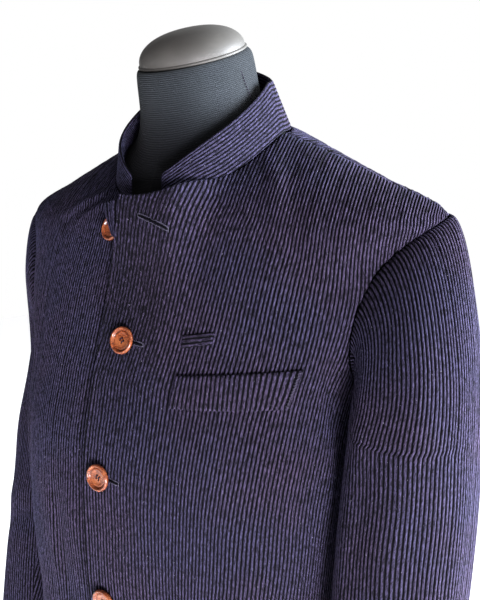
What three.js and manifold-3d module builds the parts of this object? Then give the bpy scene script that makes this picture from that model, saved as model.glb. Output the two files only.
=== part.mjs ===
// Corduroy jacket with a band collar, worn by a limbless dress form on a stand.
// Millimetres, +Z up, -Y to the front, +X towards the wearer's left.
// The origin is on the floor, in the middle of the stand's round base.
import * as THREE from "three";
import { mergeVertices } from "three/addons/utils/BufferGeometryUtils.js";
import Module from "manifold-3d";

const wasm = await Module();
wasm.setup();

// Driving dimensions
const CLOTH = 2.2; // body and sleeve cloth with its interlining
const COLLAR_CLOTH = 3.0; // the collar is two layers and a stiffener
const SEAM_GAP = 0.3; // two pieces that are sewn together stay this far apart
const SEAM_HALF = SEAM_GAP / 2;
const OVERLAP = 22; // front edge past the centre line, on both fronts
const COLLAR_HEIGHT_END = 20; // at its two front ends
const COLLAR_HEIGHT_FULL = 43;
const BUTTON_RADIUS = 11.2;
const BUTTON_THICKNESS = 4.2;
const BUTTON_HOLE_RADIUS = 1.0;
const BUTTON_HOLE_OFFSET = 1.9; // each hole's middle from the button's
const BUTTON_ROOM = 0.5; // between a button's back and the cloth

// A table is a list of rows with named columns.
function table(columns, rows) {
  return rows.map((row) => Object.fromEntries(columns.map((name, k) => [name, row[k]])));
}

// The jacket's outer surface is a stack of rings round the body. Each ring is a superellipse from above:
// half is its half width, front and back its foremost and rearmost y, mid the y of its widest place,
// square its exponent, zFront, zSide and zBack its heights at the front, side and back,
// ease the room between the cloth's inner face and the dress form.
const RING_COLUMNS = ["name", "zFront", "zSide", "zBack", "half", "front", "back", "mid", "square", "ease"];
const RINGS = table(RING_COLUMNS, [
  ["hem", 762, 768, 768, 170, -127, 124, 4, 2.5, 15],
  ["seat", 860, 862, 862, 170, -123, 122, 4, 2.5, 13],
  ["hip", 960, 962, 962, 162, -119, 106, 0, 2.5, 12],
  ["waist", 1060, 1062, 1062, 154, -119, 92, -4, 2.5, 14],
  ["ribs", 1150, 1152, 1152, 160, -126, 98, -4, 2.5, 11],
  ["chest", 1228, 1230, 1230, 165, -126, 110, 0, 2.5, 7],
  ["underarm", 1282, 1283, 1285, 170, -115, 116, 6, 2.4, 7],
  ["blade", 1324, 1336, 1338, 190, -104, 118, 9, 2.1, 7],
  ["yoke", 1358, 1390, 1390, 207, -96, 115, 16, 1.8, 5],
  ["shoulder", 1386, 1428, 1445, 222, -89, 108, 21, 1.55, 7],
  ["trapezius", 1406, 1456, 1487, 168, -84, 98, 24, 1.7, 4.5],
  ["nape", 1422, 1480, 1513, 116, -80, 92, 22, 1.8, 3.5],
  ["neck", 1435, 1494, 1517, 80, -77, 84, 17, 1.9, 3],
]);
const ringIndex = (name) => RINGS.findIndex((r) => r.name === name);
const UNDERARM = ringIndex("underarm");
const SHOULDER = ringIndex("shoulder");
const NECK = ringIndex("neck");

// How a ring's height goes from its side to its front and back, as a power of the angle's cosine.
const RING_HEIGHT_POWER = 1.2;

// Half a seam's gap as an angle, on the smallest ring.
const SEAM_ANGLE = SEAM_HALF / RINGS[NECK].half;

// The armhole's depth into the front and the back, as angles round the ring.
const ARMHOLE_FRONT = THREE.MathUtils.degToRad(19);
const ARMHOLE_BACK = THREE.MathUtils.degToRad(20);
const SIDE_ANGLE = THREE.MathUtils.degToRad(92);
const ARMHOLE_LOW_POWER = 0.7; // below 1 its deepest place is in the lower half
const ARMHOLE_FULL_POWER = 0.6; // below 1 it is rounder at both ends

// Each sleeve below its armhole is a stack of level rings: z the height, x and y the ring's middle,
// outer and inner its half width away from the body and towards it, depth its half size front to back.
// The right sleeve hangs further back than the left one.
const LEFT_SLEEVE = table(["name", "z", "x", "y", "outer", "inner", "depth"], [
  ["biceps", 1262, 214, -2, 48, 43, 69],
  ["upper_arm", 1180, 212, -4, 51, 46, 68],
  ["elbow", 1080, 210, -8, 50, 46, 65],
  ["forearm", 980, 209, -20, 46, 42, 60],
  ["wrist", 880, 210, -36, 40, 37, 54],
  ["cuff", 798, 211, -48, 37, 35, 50],
]);
const RIGHT_SLEEVE = table(["name", "z", "x", "y", "outer", "inner", "depth"], [
  ["biceps", 1262, 205, 49, 43, 38, 60],
  ["upper_arm", 1180, 217, 44, 46, 42, 61],
  ["elbow", 1080, 226, 33, 46, 43, 60],
  ["forearm", 980, 233, 20, 43, 40, 57],
  ["wrist", 880, 236, 6, 40, 37, 53],
  ["cuff", 798, 237, -4, 37, 35, 50],
]);
const CAP_ROWS = 9; // grid rows over the sleeve head, above the biceps ring
const ARM_ROWS = 12; // grid rows from the biceps to the cuff

const FABRIC = { color: 0x2b2740, roughness: 0.95, metalness: 0 };
const FORM_FABRIC = { color: 0x3c4148, roughness: 0.9, metalness: 0 };
const HORN = { color: 0xa05a35, roughness: 0.35, metalness: 0 };
const CAP_METAL = { color: 0x716f6b, roughness: 0.35, metalness: 0.7 };
const STAND_STEEL = { color: 0x8c8c8e, roughness: 0.3, metalness: 0.9 };

const group = new THREE.Group();
const lerp = THREE.MathUtils.lerp;
const clamp = THREE.MathUtils.clamp;
const smooth = (low, high, value) => THREE.MathUtils.smoothstep(value, low, high);

function addMesh(name, geometry, material) {
  const mesh = new THREE.Mesh(geometry, new THREE.MeshStandardMaterial(material));
  mesh.name = name;
  group.add(mesh);
  return mesh;
}

// A row between two rows of a table, by a Catmull-Rom spline through its numbers.
function sampleTable(table, at) {
  const last = table.length - 1;
  const i = clamp(Math.floor(at), 0, last - 1);
  const t = at - i;
  const rows = [i - 1, i, i + 1, i + 2].map((k) => table[clamp(k, 0, last)]);
  const out = {};
  for (const key of Object.keys(rows[1])) {
    if (typeof rows[1][key] !== "number") continue;
    const [a, b, c, d] = rows.map((row) => row[key]);
    const slopeB = (c - a) / 2;
    const slopeC = (d - b) / 2;
    const t2 = t * t;
    const t3 = t2 * t;
    out[key] = (2 * t3 - 3 * t2 + 1) * b + (t3 - 2 * t2 + t) * slopeB
      + (3 * t2 - 2 * t3) * c + (t3 - t2) * slopeC;
  }
  return out;
}

// How far a superellipse reaches from its middle along the direction (across, along).
function superReach(across, along, half, depth, square) {
  return (Math.abs(across / half) ** square + Math.abs(along / depth) ** square) ** (-1 / square);
}

// A point of the body's surface: level counts rings from the hem, angle 0 is the front,
// 90 degrees the left side.
function bodyPoint(level, angle) {
  const ring = sampleTable(RINGS, level);
  const sin = Math.sin(angle);
  const cos = Math.cos(angle);
  const depth = cos >= 0 ? ring.mid - ring.front : ring.back - ring.mid;
  const reach = superReach(sin, cos, ring.half, depth, ring.square);
  const zEnd = cos >= 0 ? ring.zFront : ring.zBack;
  const z = ring.zSide + (zEnd - ring.zSide) * Math.abs(cos) ** RING_HEIGHT_POWER;
  return new THREE.Vector3(reach * sin, ring.mid - reach * cos, z);
}

// The outward normal of a surface given by a function of two numbers.
function normalOf(surface, a, b) {
  const step = 1e-3;
  const alongA = surface(a + step, b).sub(surface(a - step, b));
  const alongB = surface(a, b + step).sub(surface(a, b - step));
  return alongB.cross(alongA).normalize();
}

function bodyNormal(level, angle) {
  return normalOf(bodyPoint, clamp(level, 0.002, NECK - 0.002), angle);
}

function bodyOffset(level, angle, out) {
  return bodyPoint(level, angle).addScaledVector(bodyNormal(level, angle), out);
}

// Where the panels end at the side: the side seam, then the armhole, then the shoulder seam.
function sideEdge(level, armhole) {
  const t = clamp((level - UNDERARM) / (SHOULDER - UNDERARM), 0, 1);
  return SIDE_ANGLE + armhole * Math.sin(Math.PI * t ** ARMHOLE_LOW_POWER) ** ARMHOLE_FULL_POWER;
}

// Angles that cut a ring's arc from one angle to another into equal lengths.
function evenAngles(level, from, to, count) {
  const samples = 48;
  const angles = [];
  const lengths = [0];
  let before = null;
  for (let i = 0; i <= samples; i++) {
    const angle = lerp(from, to, i / samples);
    const point = bodyPoint(level, angle);
    angles.push(angle);
    if (before) lengths.push(lengths[i - 1] + point.distanceTo(before));
    before = point;
  }
  return Array.from({ length: count }, (_, k) => {
    const want = (lengths[samples] * k) / (count - 1);
    let i = 0;
    while (i < samples - 1 && lengths[i + 1] < want) i++;
    return lerp(angles[i], angles[i + 1], (want - lengths[i]) / (lengths[i + 1] - lengths[i]));
  });
}

// The ring angle at a distance from the centre line, near the front or the back.
function angleAtX(level, x, nearBack = false) {
  let low = -1.2;
  let high = 1.2;
  for (let i = 0; i < 40; i++) {
    const middle = (low + high) / 2;
    const angle = nearBack ? Math.PI - middle : middle;
    if (bodyPoint(level, angle).x < x) low = middle;
    else high = middle;
  }
  return nearBack ? Math.PI - (low + high) / 2 : (low + high) / 2;
}

// The ring level and angle of the place on the front at a given x and z.
function frontAt(x, z) {
  let low = 0;
  let high = NECK;
  for (let i = 0; i < 40; i++) {
    const level = (low + high) / 2;
    if (bodyPoint(level, angleAtX(level, x)).z < z) low = level;
    else high = level;
  }
  return { level: (low + high) / 2, angle: angleAtX((low + high) / 2, x) };
}

// One closed body from an outer and an inner grid of points, joined round their borders.
function wallGeometry(outer, inner) {
  const rows = outer.length;
  const columns = outer[0].length;
  const top = rows - 1;
  const right = columns - 1;
  const positions = [...outer.flat(), ...inner.flat()].flatMap((p) => [p.x, p.y, p.z]);
  const index = [];
  const at = (side, i, j) => side * rows * columns + i * columns + j;
  const quad = (a, b, c, d) => index.push(a, b, c, a, c, d);
  for (let i = 0; i < top; i++) {
    for (let j = 0; j < right; j++) {
      quad(at(0, i, j), at(0, i, j + 1), at(0, i + 1, j + 1), at(0, i + 1, j));
      quad(at(1, i, j), at(1, i + 1, j), at(1, i + 1, j + 1), at(1, i, j + 1));
    }
    quad(at(0, i, 0), at(0, i + 1, 0), at(1, i + 1, 0), at(1, i, 0));
    quad(at(0, i, right), at(1, i, right), at(1, i + 1, right), at(0, i + 1, right));
  }
  for (let j = 0; j < right; j++) {
    quad(at(0, 0, j), at(1, 0, j), at(1, 0, j + 1), at(0, 0, j + 1));
    quad(at(0, top, j), at(0, top, j + 1), at(1, top, j + 1), at(1, top, j));
  }
  return indexedGeometry(positions, index);
}

// One closed body from a stack of closed rings, with a flat fan over each end.
function loftGeometry(rings) {
  const columns = rings[0].length;
  const rows = rings.length;
  const middle = (ring) => ring.reduce((sum, p) => sum.add(p), new THREE.Vector3()).divideScalar(columns);
  const ends = [middle(rings[0]), middle(rings[rows - 1])];
  const positions = [...rings.flat(), ...ends].flatMap((p) => [p.x, p.y, p.z]);
  const index = [];
  const at = (i, j) => i * columns + (j % columns);
  for (let j = 0; j < columns; j++) {
    for (let i = 0; i < rows - 1; i++) {
      index.push(at(i, j), at(i, j + 1), at(i + 1, j + 1), at(i, j), at(i + 1, j + 1), at(i + 1, j));
    }
    index.push(rows * columns, at(0, j + 1), at(0, j));
    index.push(rows * columns + 1, at(rows - 1, j), at(rows - 1, j + 1));
  }
  return indexedGeometry(positions, index);
}

function indexedGeometry(positions, index) {
  const geometry = new THREE.BufferGeometry();
  geometry.setAttribute("position", new THREE.Float32BufferAttribute(positions, 3));
  geometry.setIndex(index);
  geometry.computeVertexNormals();
  return geometry;
}

// A grid's mirror image in the plane x = 0, with its columns turned round so that its faces still point out.
function mirrored(grid) {
  return grid.map((row) => row.map((p) => new THREE.Vector3(-p.x, p.y, p.z)).reverse());
}

// Rows of a body panel, denser where the shape turns: from the hem to the underarm, then up to the neck.
const PANEL_LEVELS = [
  ...Array.from({ length: 11 }, (_, i) => (i * UNDERARM) / 11),
  ...Array.from({ length: 9 }, (_, i) => UNDERARM + (i * (SHOULDER - UNDERARM)) / 9),
  ...Array.from({ length: 6 }, (_, i) => SHOULDER + (i * (NECK - SHOULDER)) / 5),
];

// How far the left front stands off over the right one, and off the neck where its top button is open.
const OVERLAP_ROOM = 0.8; // between the two fronts where one lies over the other
const OVERLAP_FADE_FROM = OVERLAP + 6; // the left front comes back to the body between these two
const OVERLAP_FADE_TO = OVERLAP + 44;
const OPEN_TOP_Z = 1345; // the opening starts to roll out above this height
const OPEN_TOP_POWER = 1.3; // above 1 it rolls out more towards the top
const OPEN_TOP_LIFT = 13;
const OPEN_TOP_DRAW = 7; // its edge is drawn this far back from the overlap at the top
function openShare(z) {
  return smooth(OPEN_TOP_Z, RINGS[NECK].zFront, z) ** OPEN_TOP_POWER;
}
function frontLift(point) {
  const overlapShare = 1 - smooth(OVERLAP_FADE_FROM, OVERLAP_FADE_TO, point.x);
  return overlapShare * (CLOTH + OVERLAP_ROOM + OPEN_TOP_LIFT * openShare(point.z));
}

function frontGrids(lifted) {
  const outer = [];
  const inner = [];
  const columns = 14;
  for (const level of PANEL_LEVELS) {
    const edge = sideEdge(level, -ARMHOLE_FRONT) - SEAM_ANGLE;
    const drawn = lifted ? OPEN_TOP_DRAW * openShare(bodyPoint(level, 0).z) : 0;
    const angles = evenAngles(level, angleAtX(level, drawn - OVERLAP), edge, columns);
    const lift = (angle) => (lifted ? frontLift(bodyPoint(level, angle)) : 0);
    outer.push(angles.map((angle) => bodyOffset(level, angle, lift(angle))));
    inner.push(angles.map((angle) => bodyOffset(level, angle, lift(angle) - CLOTH)));
  }
  return [outer, inner];
}

function backGrids() {
  const outer = [];
  const inner = [];
  const columns = 10;
  for (const level of PANEL_LEVELS) {
    const edge = sideEdge(level, ARMHOLE_BACK) + SEAM_ANGLE;
    const angles = evenAngles(level, edge, angleAtX(level, SEAM_HALF, true), columns);
    outer.push(angles.map((angle) => bodyOffset(level, angle, 0)));
    inner.push(angles.map((angle) => bodyOffset(level, angle, -CLOTH)));
  }
  return [outer, inner];
}

function addPair(name, [outer, inner], material) {
  addMesh(name + "_left", wallGeometry(outer, inner), material);
  addMesh(name + "_right", wallGeometry(mirrored(outer), mirrored(inner)), material);
}

function makeFronts() {
  const [leftOuter, leftInner] = frontGrids(true);
  addMesh("front_left", wallGeometry(leftOuter, leftInner), FABRIC);
  const [outer, inner] = frontGrids(false);
  addMesh("front_right", wallGeometry(mirrored(outer), mirrored(inner)), FABRIC);
}

// The left armhole's edge: turn 0 is at the shoulder tip, a quarter turn in front, a half turn under the arm.
function armholePoint(turn) {
  const share = (1 + Math.cos(turn)) / 2;
  const level = lerp(UNDERARM, SHOULDER, share);
  const armhole = Math.sin(turn) >= 0 ? -ARMHOLE_FRONT : ARMHOLE_BACK;
  return bodyPoint(level, sideEdge(level, armhole));
}

// A sleeve ring is squarer towards the body, as the sleeve lies flat there.
const SQUARE_INNER = 3.3;
const SQUARE_OUTER = 2.1;
function sleeveRingPoint(arm, at, turn) {
  const ring = sampleTable(arm, at);
  const sin = Math.sin(turn);
  const cos = Math.cos(turn);
  const half = lerp(ring.inner, ring.outer, smooth(-0.35, 0.35, cos));
  const square = lerp(SQUARE_INNER, SQUARE_OUTER, smooth(-0.8, 0.4, cos));
  const reach = superReach(cos, sin, half, ring.depth, square);
  return new THREE.Vector3(ring.x + reach * cos, ring.y - reach * sin, ring.z);
}

// The sleeve head leaves the armhole outwards and comes down to the biceps ring along a curve. It is fullest
// at the crown, where it leaves by CROWN_LEAVE and drops by CROWN_DROP; below, both are shares of the way.
const CROWN_LEAVE = 15;
const CROWN_DROP = 74;
const UNDERARM_LEAVE = 0.2;
const UNDERARM_DROP = 0.45;
const HEAD_ROOM = SEAM_GAP + 0.4; // between the armhole's edge and the sleeve's
function sleeveHeadPoint(arm, row, turn) {
  const crown = Math.max(0, Math.cos(turn));
  const start = armholePoint(turn);
  const end = sleeveRingPoint(arm, 0, turn);
  const out = new THREE.Vector3(0.9, -0.4 * Math.sin(turn), 0.05 * Math.cos(turn)).normalize();
  const reach = start.distanceTo(end);
  const leave = start.clone().addScaledVector(out, lerp(UNDERARM_LEAVE * reach, CROWN_LEAVE, crown));
  const arrive = end.clone().add(new THREE.Vector3(0, 0, lerp(UNDERARM_DROP * reach, CROWN_DROP, crown)));
  start.addScaledVector(out, HEAD_ROOM);
  return new THREE.CubicBezierCurve3(start, leave, arrive, end).getPoint(clamp(row, 0, 1));
}

// A sleeve's outer surface, drawn on the left side: row 0 is the armhole seam, row 1 the biceps ring,
// then one row for each ring below it.
function sleevePoint(arm, row, turn) {
  return row >= 1 ? sleeveRingPoint(arm, row - 1, turn) : sleeveHeadPoint(arm, row, turn);
}

// Grids of one part of a sleeve between two turns.
function sleeveGrids(arm, fromTurn, toTurn, columns) {
  const surface = (row, turn) => sleevePoint(arm, row, turn);
  const outer = [];
  const inner = [];
  const bottom = arm.length;
  const rows = [
    ...Array.from({ length: CAP_ROWS }, (_, i) => i / CAP_ROWS),
    ...Array.from({ length: ARM_ROWS + 1 }, (_, i) => 1 + (i * (bottom - 1)) / ARM_ROWS),
  ];
  for (const row of rows.reverse()) {
    const turns = Array.from({ length: columns }, (_, j) => lerp(fromTurn, toTurn, j / (columns - 1)));
    const points = turns.map((turn) => surface(row, turn));
    const at = clamp(row, 0.01, bottom - 0.002);
    outer.push(points);
    inner.push(points.map((p, j) => p.clone().addScaledVector(normalOf(surface, at, turns[j]), -CLOTH)));
  }
  return [outer, inner];
}

// A two-piece sleeve: the top sleeve over the arm and the under sleeve towards the body.
const FRONT_SEAM = THREE.MathUtils.degToRad(118);
const BACK_SEAM = THREE.MathUtils.degToRad(-112);
const SEAM_TURN = SEAM_HALF / LEFT_SLEEVE[5].inner; // half a seam's gap at the narrowest place
const TOP_COLUMNS = 13;
const UNDER_COLUMNS = 9;
function makeSleeves() {
  const frontSeamFromBelow = FRONT_SEAM - 2 * Math.PI;
  for (const [side, arm] of [["left", LEFT_SLEEVE], ["right", RIGHT_SLEEVE]]) {
    const top = sleeveGrids(arm, FRONT_SEAM - SEAM_TURN, BACK_SEAM + SEAM_TURN, TOP_COLUMNS);
    const under = sleeveGrids(arm, BACK_SEAM - SEAM_TURN, frontSeamFromBelow + SEAM_TURN, UNDER_COLUMNS);
    for (const [piece, grids] of [["top", top], ["under", under]]) {
      const placed = side === "left" ? grids : grids.map(mirrored);
      addMesh(`${piece}_sleeve_${side}`, wallGeometry(...placed), FABRIC);
    }
  }
}

// The band collar stands on the neck seam. Its ends stop short of the centre line, with a rounded top corner.
const COLLAR_END = 16; // distance of each end from the centre line
const COLLAR_CORNER = 4; // radius of the top corner
const COLLAR_RISE = 34; // length over which it comes to most of its full height
const COLLAR_RISE_POWER = 1.3;
const COLLAR_COLUMNS = 37;
const COLLAR_ROWS = 5;
function collarGrids() {
  const start = angleAtX(NECK, COLLAR_END);
  const angles = evenAngles(NECK, start, 2 * Math.PI - start, COLLAR_COLUMNS);
  const outer = [];
  const inner = [];
  let run = 0;
  const runs = angles.map((angle, j) => {
    if (j) run += bodyPoint(NECK, angle).distanceTo(bodyPoint(NECK, angles[j - 1]));
    return run;
  });
  for (let i = 0; i < COLLAR_ROWS; i++) {
    const up = i / (COLLAR_ROWS - 1);
    const ring = angles.map((angle, j) => {
      const fromEnd = Math.min(runs[j], run - runs[j]);
      const corner = Math.max(0, COLLAR_CORNER - fromEnd);
      const cut = COLLAR_CORNER - Math.sqrt(Math.max(0, COLLAR_CORNER ** 2 - corner ** 2));
      const grown = 1 - Math.exp(-((fromEnd / COLLAR_RISE) ** COLLAR_RISE_POWER));
      const height = lerp(COLLAR_HEIGHT_END, COLLAR_HEIGHT_FULL, grown) - cut;
      return collarPoint(angle, 2 * SEAM_GAP + height * up);
    });
    outer.push(ring);
    inner.push(angles.map((angle, j) => {
      const inward = new THREE.Vector3(-Math.sin(angle), Math.cos(angle), 0);
      return ring[j].clone().addScaledVector(inward, COLLAR_CLOTH);
    }));
  }
  return [outer, inner];
}

// A point of the collar's outer face at a height above the neck seam. The band leans in with
// the neck, more so on the right.
const COLLAR_LEAN_LEFT = 0.4;
const COLLAR_LEAN_RIGHT = 0.54;
const COLLAR_LEAN_BACK = 0.52;
const COLLAR_LEAN_FRONT = -0.02;
function collarPoint(angle, height) {
  const base = bodyPoint(NECK, angle);
  const sin = Math.sin(angle);
  const cos = Math.cos(angle);
  const side = lerp(COLLAR_LEAN_RIGHT, COLLAR_LEAN_LEFT, (1 + sin) / 2);
  const lean = lerp(side, cos > 0 ? COLLAR_LEAN_FRONT : COLLAR_LEAN_BACK, Math.abs(cos));
  const inward = new THREE.Vector3(-sin, cos, 0);
  return base.addScaledVector(inward, lean * height).add(new THREE.Vector3(0, 0, height));
}

function makeCollar() {
  const [outer, inner] = collarGrids();
  addMesh("collar", wallGeometry(outer, inner), FABRIC);
}

// A patch over one front between corners given as [x, z]: a wall thick mm thick whose inner face is
// lift mm off the front's own surface. lift is a function of the place, and so is raise, which adds
// to the outer face.
function frontPatch(name, corners, columns, rows, thick, lift, raise = () => 0) {
  const { bottomLeft, bottomRight, topLeft, topRight } = corners;
  const outer = [];
  const inner = [];
  for (let i = 0; i < rows; i++) {
    const v = i / (rows - 1);
    const outerRow = [];
    const innerRow = [];
    for (let j = 0; j < columns; j++) {
      const u = j / (columns - 1);
      const x = lerp(lerp(bottomLeft[0], bottomRight[0], u), lerp(topLeft[0], topRight[0], u), v);
      const z = lerp(lerp(bottomLeft[1], bottomRight[1], u), lerp(topLeft[1], topRight[1], u), v);
      const { level, angle } = frontAt(x, z);
      const base = lift(bodyPoint(level, angle));
      innerRow.push(bodyOffset(level, angle, base));
      outerRow.push(bodyOffset(level, angle, base + thick + raise(u, v)));
    }
    outer.push(outerRow);
    inner.push(innerRow);
  }
  return addMesh(name, wallGeometry(outer, inner), FABRIC);
}

const POCKET_CORNERS = {
  bottomLeft: [55, 1277],
  bottomRight: [138, 1282.5],
  topLeft: [57, 1301.5],
  topRight: [145.5, 1312],
};
const BAR_CORNERS = {
  bottomLeft: [57.5, 1322],
  bottomRight: [81.6, 1327],
  topLeft: [56.3, 1332],
  topRight: [81.8, 1336.7],
};
// The corner of the left front's facing that shows beside its edge, in front of the undone button.
// Its right side lies against the back of the left front, and its left side rolls towards the right front.
const FACING_CORNERS = {
  bottomLeft: [-20, 1402],
  bottomRight: [-15, 1401],
  topLeft: [-42, 1427],
  topRight: [-12, 1432],
};
const FACING_THICKNESS = 2;
const FACING_ROLLED_LIFT = 6.4;
const PATCH_ROOM = SEAM_GAP + 0.4; // between a patch and the front, which bends under it
const WELT_THICKNESS = 2.4;
const BAR_THICKNESS = 1.2;
const BAR_WALES = 3;
const BAR_WALE_HEIGHT = 0.6;
function facingLift(point) {
  const behindFront = frontLift(point) - CLOTH - FACING_THICKNESS - 2 * SEAM_GAP;
  const behindShare = smooth(FACING_CORNERS.topLeft[0], FACING_CORNERS.bottomRight[0], point.x);
  return lerp(FACING_ROLLED_LIFT, behindFront, behindShare);
}
function makePatches() {
  const onFront = (point) => frontLift(point) + PATCH_ROOM;
  const barWales = (u, v) => BAR_WALE_HEIGHT * Math.abs(Math.sin(BAR_WALES * Math.PI * v));
  frontPatch("breast_pocket_welt", POCKET_CORNERS, 13, 4, WELT_THICKNESS, onFront);
  frontPatch("chest_bar", BAR_CORNERS, 4, 7, BAR_THICKNESS, onFront, barWales);
  frontPatch("front_left_facing_corner", FACING_CORNERS, 7, 6, FACING_THICKNESS, facingLift);
}

// A four-hole button with a raised rim, its back at the origin, facing +Z.
function buttonGeometry() {
  const r = BUTTON_RADIUS;
  const t = BUTTON_THICKNESS;
  const profile = [
    [0, 0],
    [r - 2.2, 0],
    [r, 0.4 * t],
    [r - 0.5, 0.85 * t],
    [r - 1.6, t],
    [r - 3.0, 0.78 * t],
    [r - 4.2, 0.62 * t],
    [0, 0.58 * t],
  ].map(([x, y]) => new THREE.Vector2(x, y));
  const disc = new THREE.LatheGeometry(profile, 18).rotateX(Math.PI / 2);
  let solid = solidOf(disc);
  for (let k = 0; k < 4; k++) {
    const hole = new THREE.CylinderGeometry(BUTTON_HOLE_RADIUS, BUTTON_HOLE_RADIUS, 4 * t, 6);
    const angle = (k * Math.PI) / 2 + Math.PI / 4;
    hole.rotateX(Math.PI / 2);
    hole.translate(BUTTON_HOLE_OFFSET * Math.cos(angle), BUTTON_HOLE_OFFSET * Math.sin(angle), 0);
    solid = solid.subtract(solidOf(hole));
  }
  return geometryOf(solid);
}

function solidOf(geometry) {
  const bare = geometry.clone();
  bare.deleteAttribute("normal");
  bare.deleteAttribute("uv");
  const merged = mergeVertices(bare, 1e-4);
  const mesh = new wasm.Mesh({
    numProp: 3,
    vertProperties: new Float32Array(merged.attributes.position.array),
    triVerts: new Uint32Array(merged.index.array),
  });
  return new wasm.Manifold(mesh);
}

function geometryOf(solid) {
  const mesh = solid.getMesh();
  return indexedGeometry(Array.from(mesh.vertProperties), Array.from(mesh.triVerts));
}

// The buttons from the collar down. The first is on the right front and undone,
// the others hold the fronts closed.
const BUTTONS = [
  { x: -30, z: 1410, onRight: true },
  { x: 4.5, z: 1322 },
  { x: -2, z: 1214 },
  { x: -2, z: 1104 },
  { x: -2, z: 994 },
];
function makeButtons() {
  BUTTONS.forEach((button, k) => {
    const { level, angle } = frontAt(button.x, button.z);
    const lift = button.onRight ? 0 : frontLift(bodyPoint(level, angle));
    const mesh = addMesh("button_" + (k + 1), buttonGeometry(), HORN);
    mesh.position.copy(bodyOffset(level, angle, lift + BUTTON_ROOM));
    mesh.quaternion.setFromUnitVectors(new THREE.Vector3(0, 0, 1), bodyNormal(level, angle));
  });
}

// The dress form: the jacket's rings moved in by the cloth and the ease, then a neck that leans forward.
const FORM_BOTTOM = 742;
const FORM_BOTTOM_ROUNDING = table(["rise", "shrink"], [
  [0, 30],
  [6, 12],
  [14, 2],
]);
const FORM_COLUMNS = 40;
const NECK_RINGS = table(["zFront", "zSide", "zBack", "half", "front", "back"], [
  [1450, 1498, 1516, 66, -64, 64],
  [1472, 1508, 1528, 58, -55, 62],
  [1498, 1524, 1545, 53, -52, 57],
  [1534, 1553.5, 1573, 51, -57, 44],
  [1539, 1558.5, 1578, 47, -53, 33],
]);
function formRing(point) {
  return Array.from({ length: FORM_COLUMNS }, (_, j) => point((j * 2 * Math.PI) / FORM_COLUMNS));
}
function makeForm() {
  const rings = [];
  for (const { rise, shrink } of FORM_BOTTOM_ROUNDING) {
    const inset = CLOTH + RINGS[0].ease + shrink;
    rings.push(formRing((angle) => bodyOffset(0, angle, -inset).setZ(FORM_BOTTOM + rise)));
  }
  for (const level of PANEL_LEVELS) {
    const ease = sampleTable(RINGS, level).ease;
    rings.push(formRing((angle) => bodyOffset(level, angle, -CLOTH - ease)));
  }
  for (const ring of NECK_RINGS) {
    const mid = (ring.front + ring.back) / 2;
    const depth = (ring.back - ring.front) / 2;
    rings.push(formRing((angle) => {
      const cos = Math.cos(angle);
      const zEnd = cos >= 0 ? ring.zFront : ring.zBack;
      const z = ring.zSide + (zEnd - ring.zSide) * Math.abs(cos);
      return new THREE.Vector3(ring.half * Math.sin(angle), mid - depth * cos, z);
    }));
  }
  addMesh("form_body", loftGeometry(rings), FORM_FABRIC);
}

// The cap on the neck: a low dome with a thin rim, tilted as the neck's top is.
const CAP_MARGIN = 1.5; // the dome past the neck
const CAP_RIM = 1.5; // the rim past the dome
const CAP_RIM_HEIGHT = 2;
const CAP_HEIGHT = 24;
const CAP_FLATNESS = 0.8; // below 1 the dome is flatter on top
const CAP_STEPS = 7;
function makeNeckCap() {
  const top = NECK_RINGS[NECK_RINGS.length - 1];
  const tilt = Math.atan2(top.zBack - top.zFront, top.back - top.front);
  const radius = top.half + CAP_MARGIN;
  const domeFoot = CAP_RIM_HEIGHT + 0.5;
  const points = [
    new THREE.Vector2(0, 0),
    new THREE.Vector2(radius + CAP_RIM - 0.5, 0),
    new THREE.Vector2(radius + CAP_RIM, CAP_RIM_HEIGHT),
  ];
  for (let k = 0; k < CAP_STEPS; k++) {
    const t = (k / CAP_STEPS) * (Math.PI / 2);
    const x = radius * Math.cos(t) ** CAP_FLATNESS;
    points.push(new THREE.Vector2(x, lerp(domeFoot, CAP_HEIGHT, Math.sin(t))));
  }
  points.push(new THREE.Vector2(0, CAP_HEIGHT));
  const geometry = new THREE.LatheGeometry(points, 28).rotateX(Math.PI / 2);
  const mesh = addMesh("neck_cap", geometry, CAP_METAL);
  mesh.scale.set(1, (top.back - top.front) / (2 * top.half), 1);
  const normal = new THREE.Vector3(0, -Math.sin(tilt), Math.cos(tilt));
  mesh.rotation.x = tilt;
  mesh.position.set(0, (top.front + top.back) / 2, (top.zFront + top.zBack) / 2);
  mesh.position.addScaledVector(normal, SEAM_GAP);
}

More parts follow.
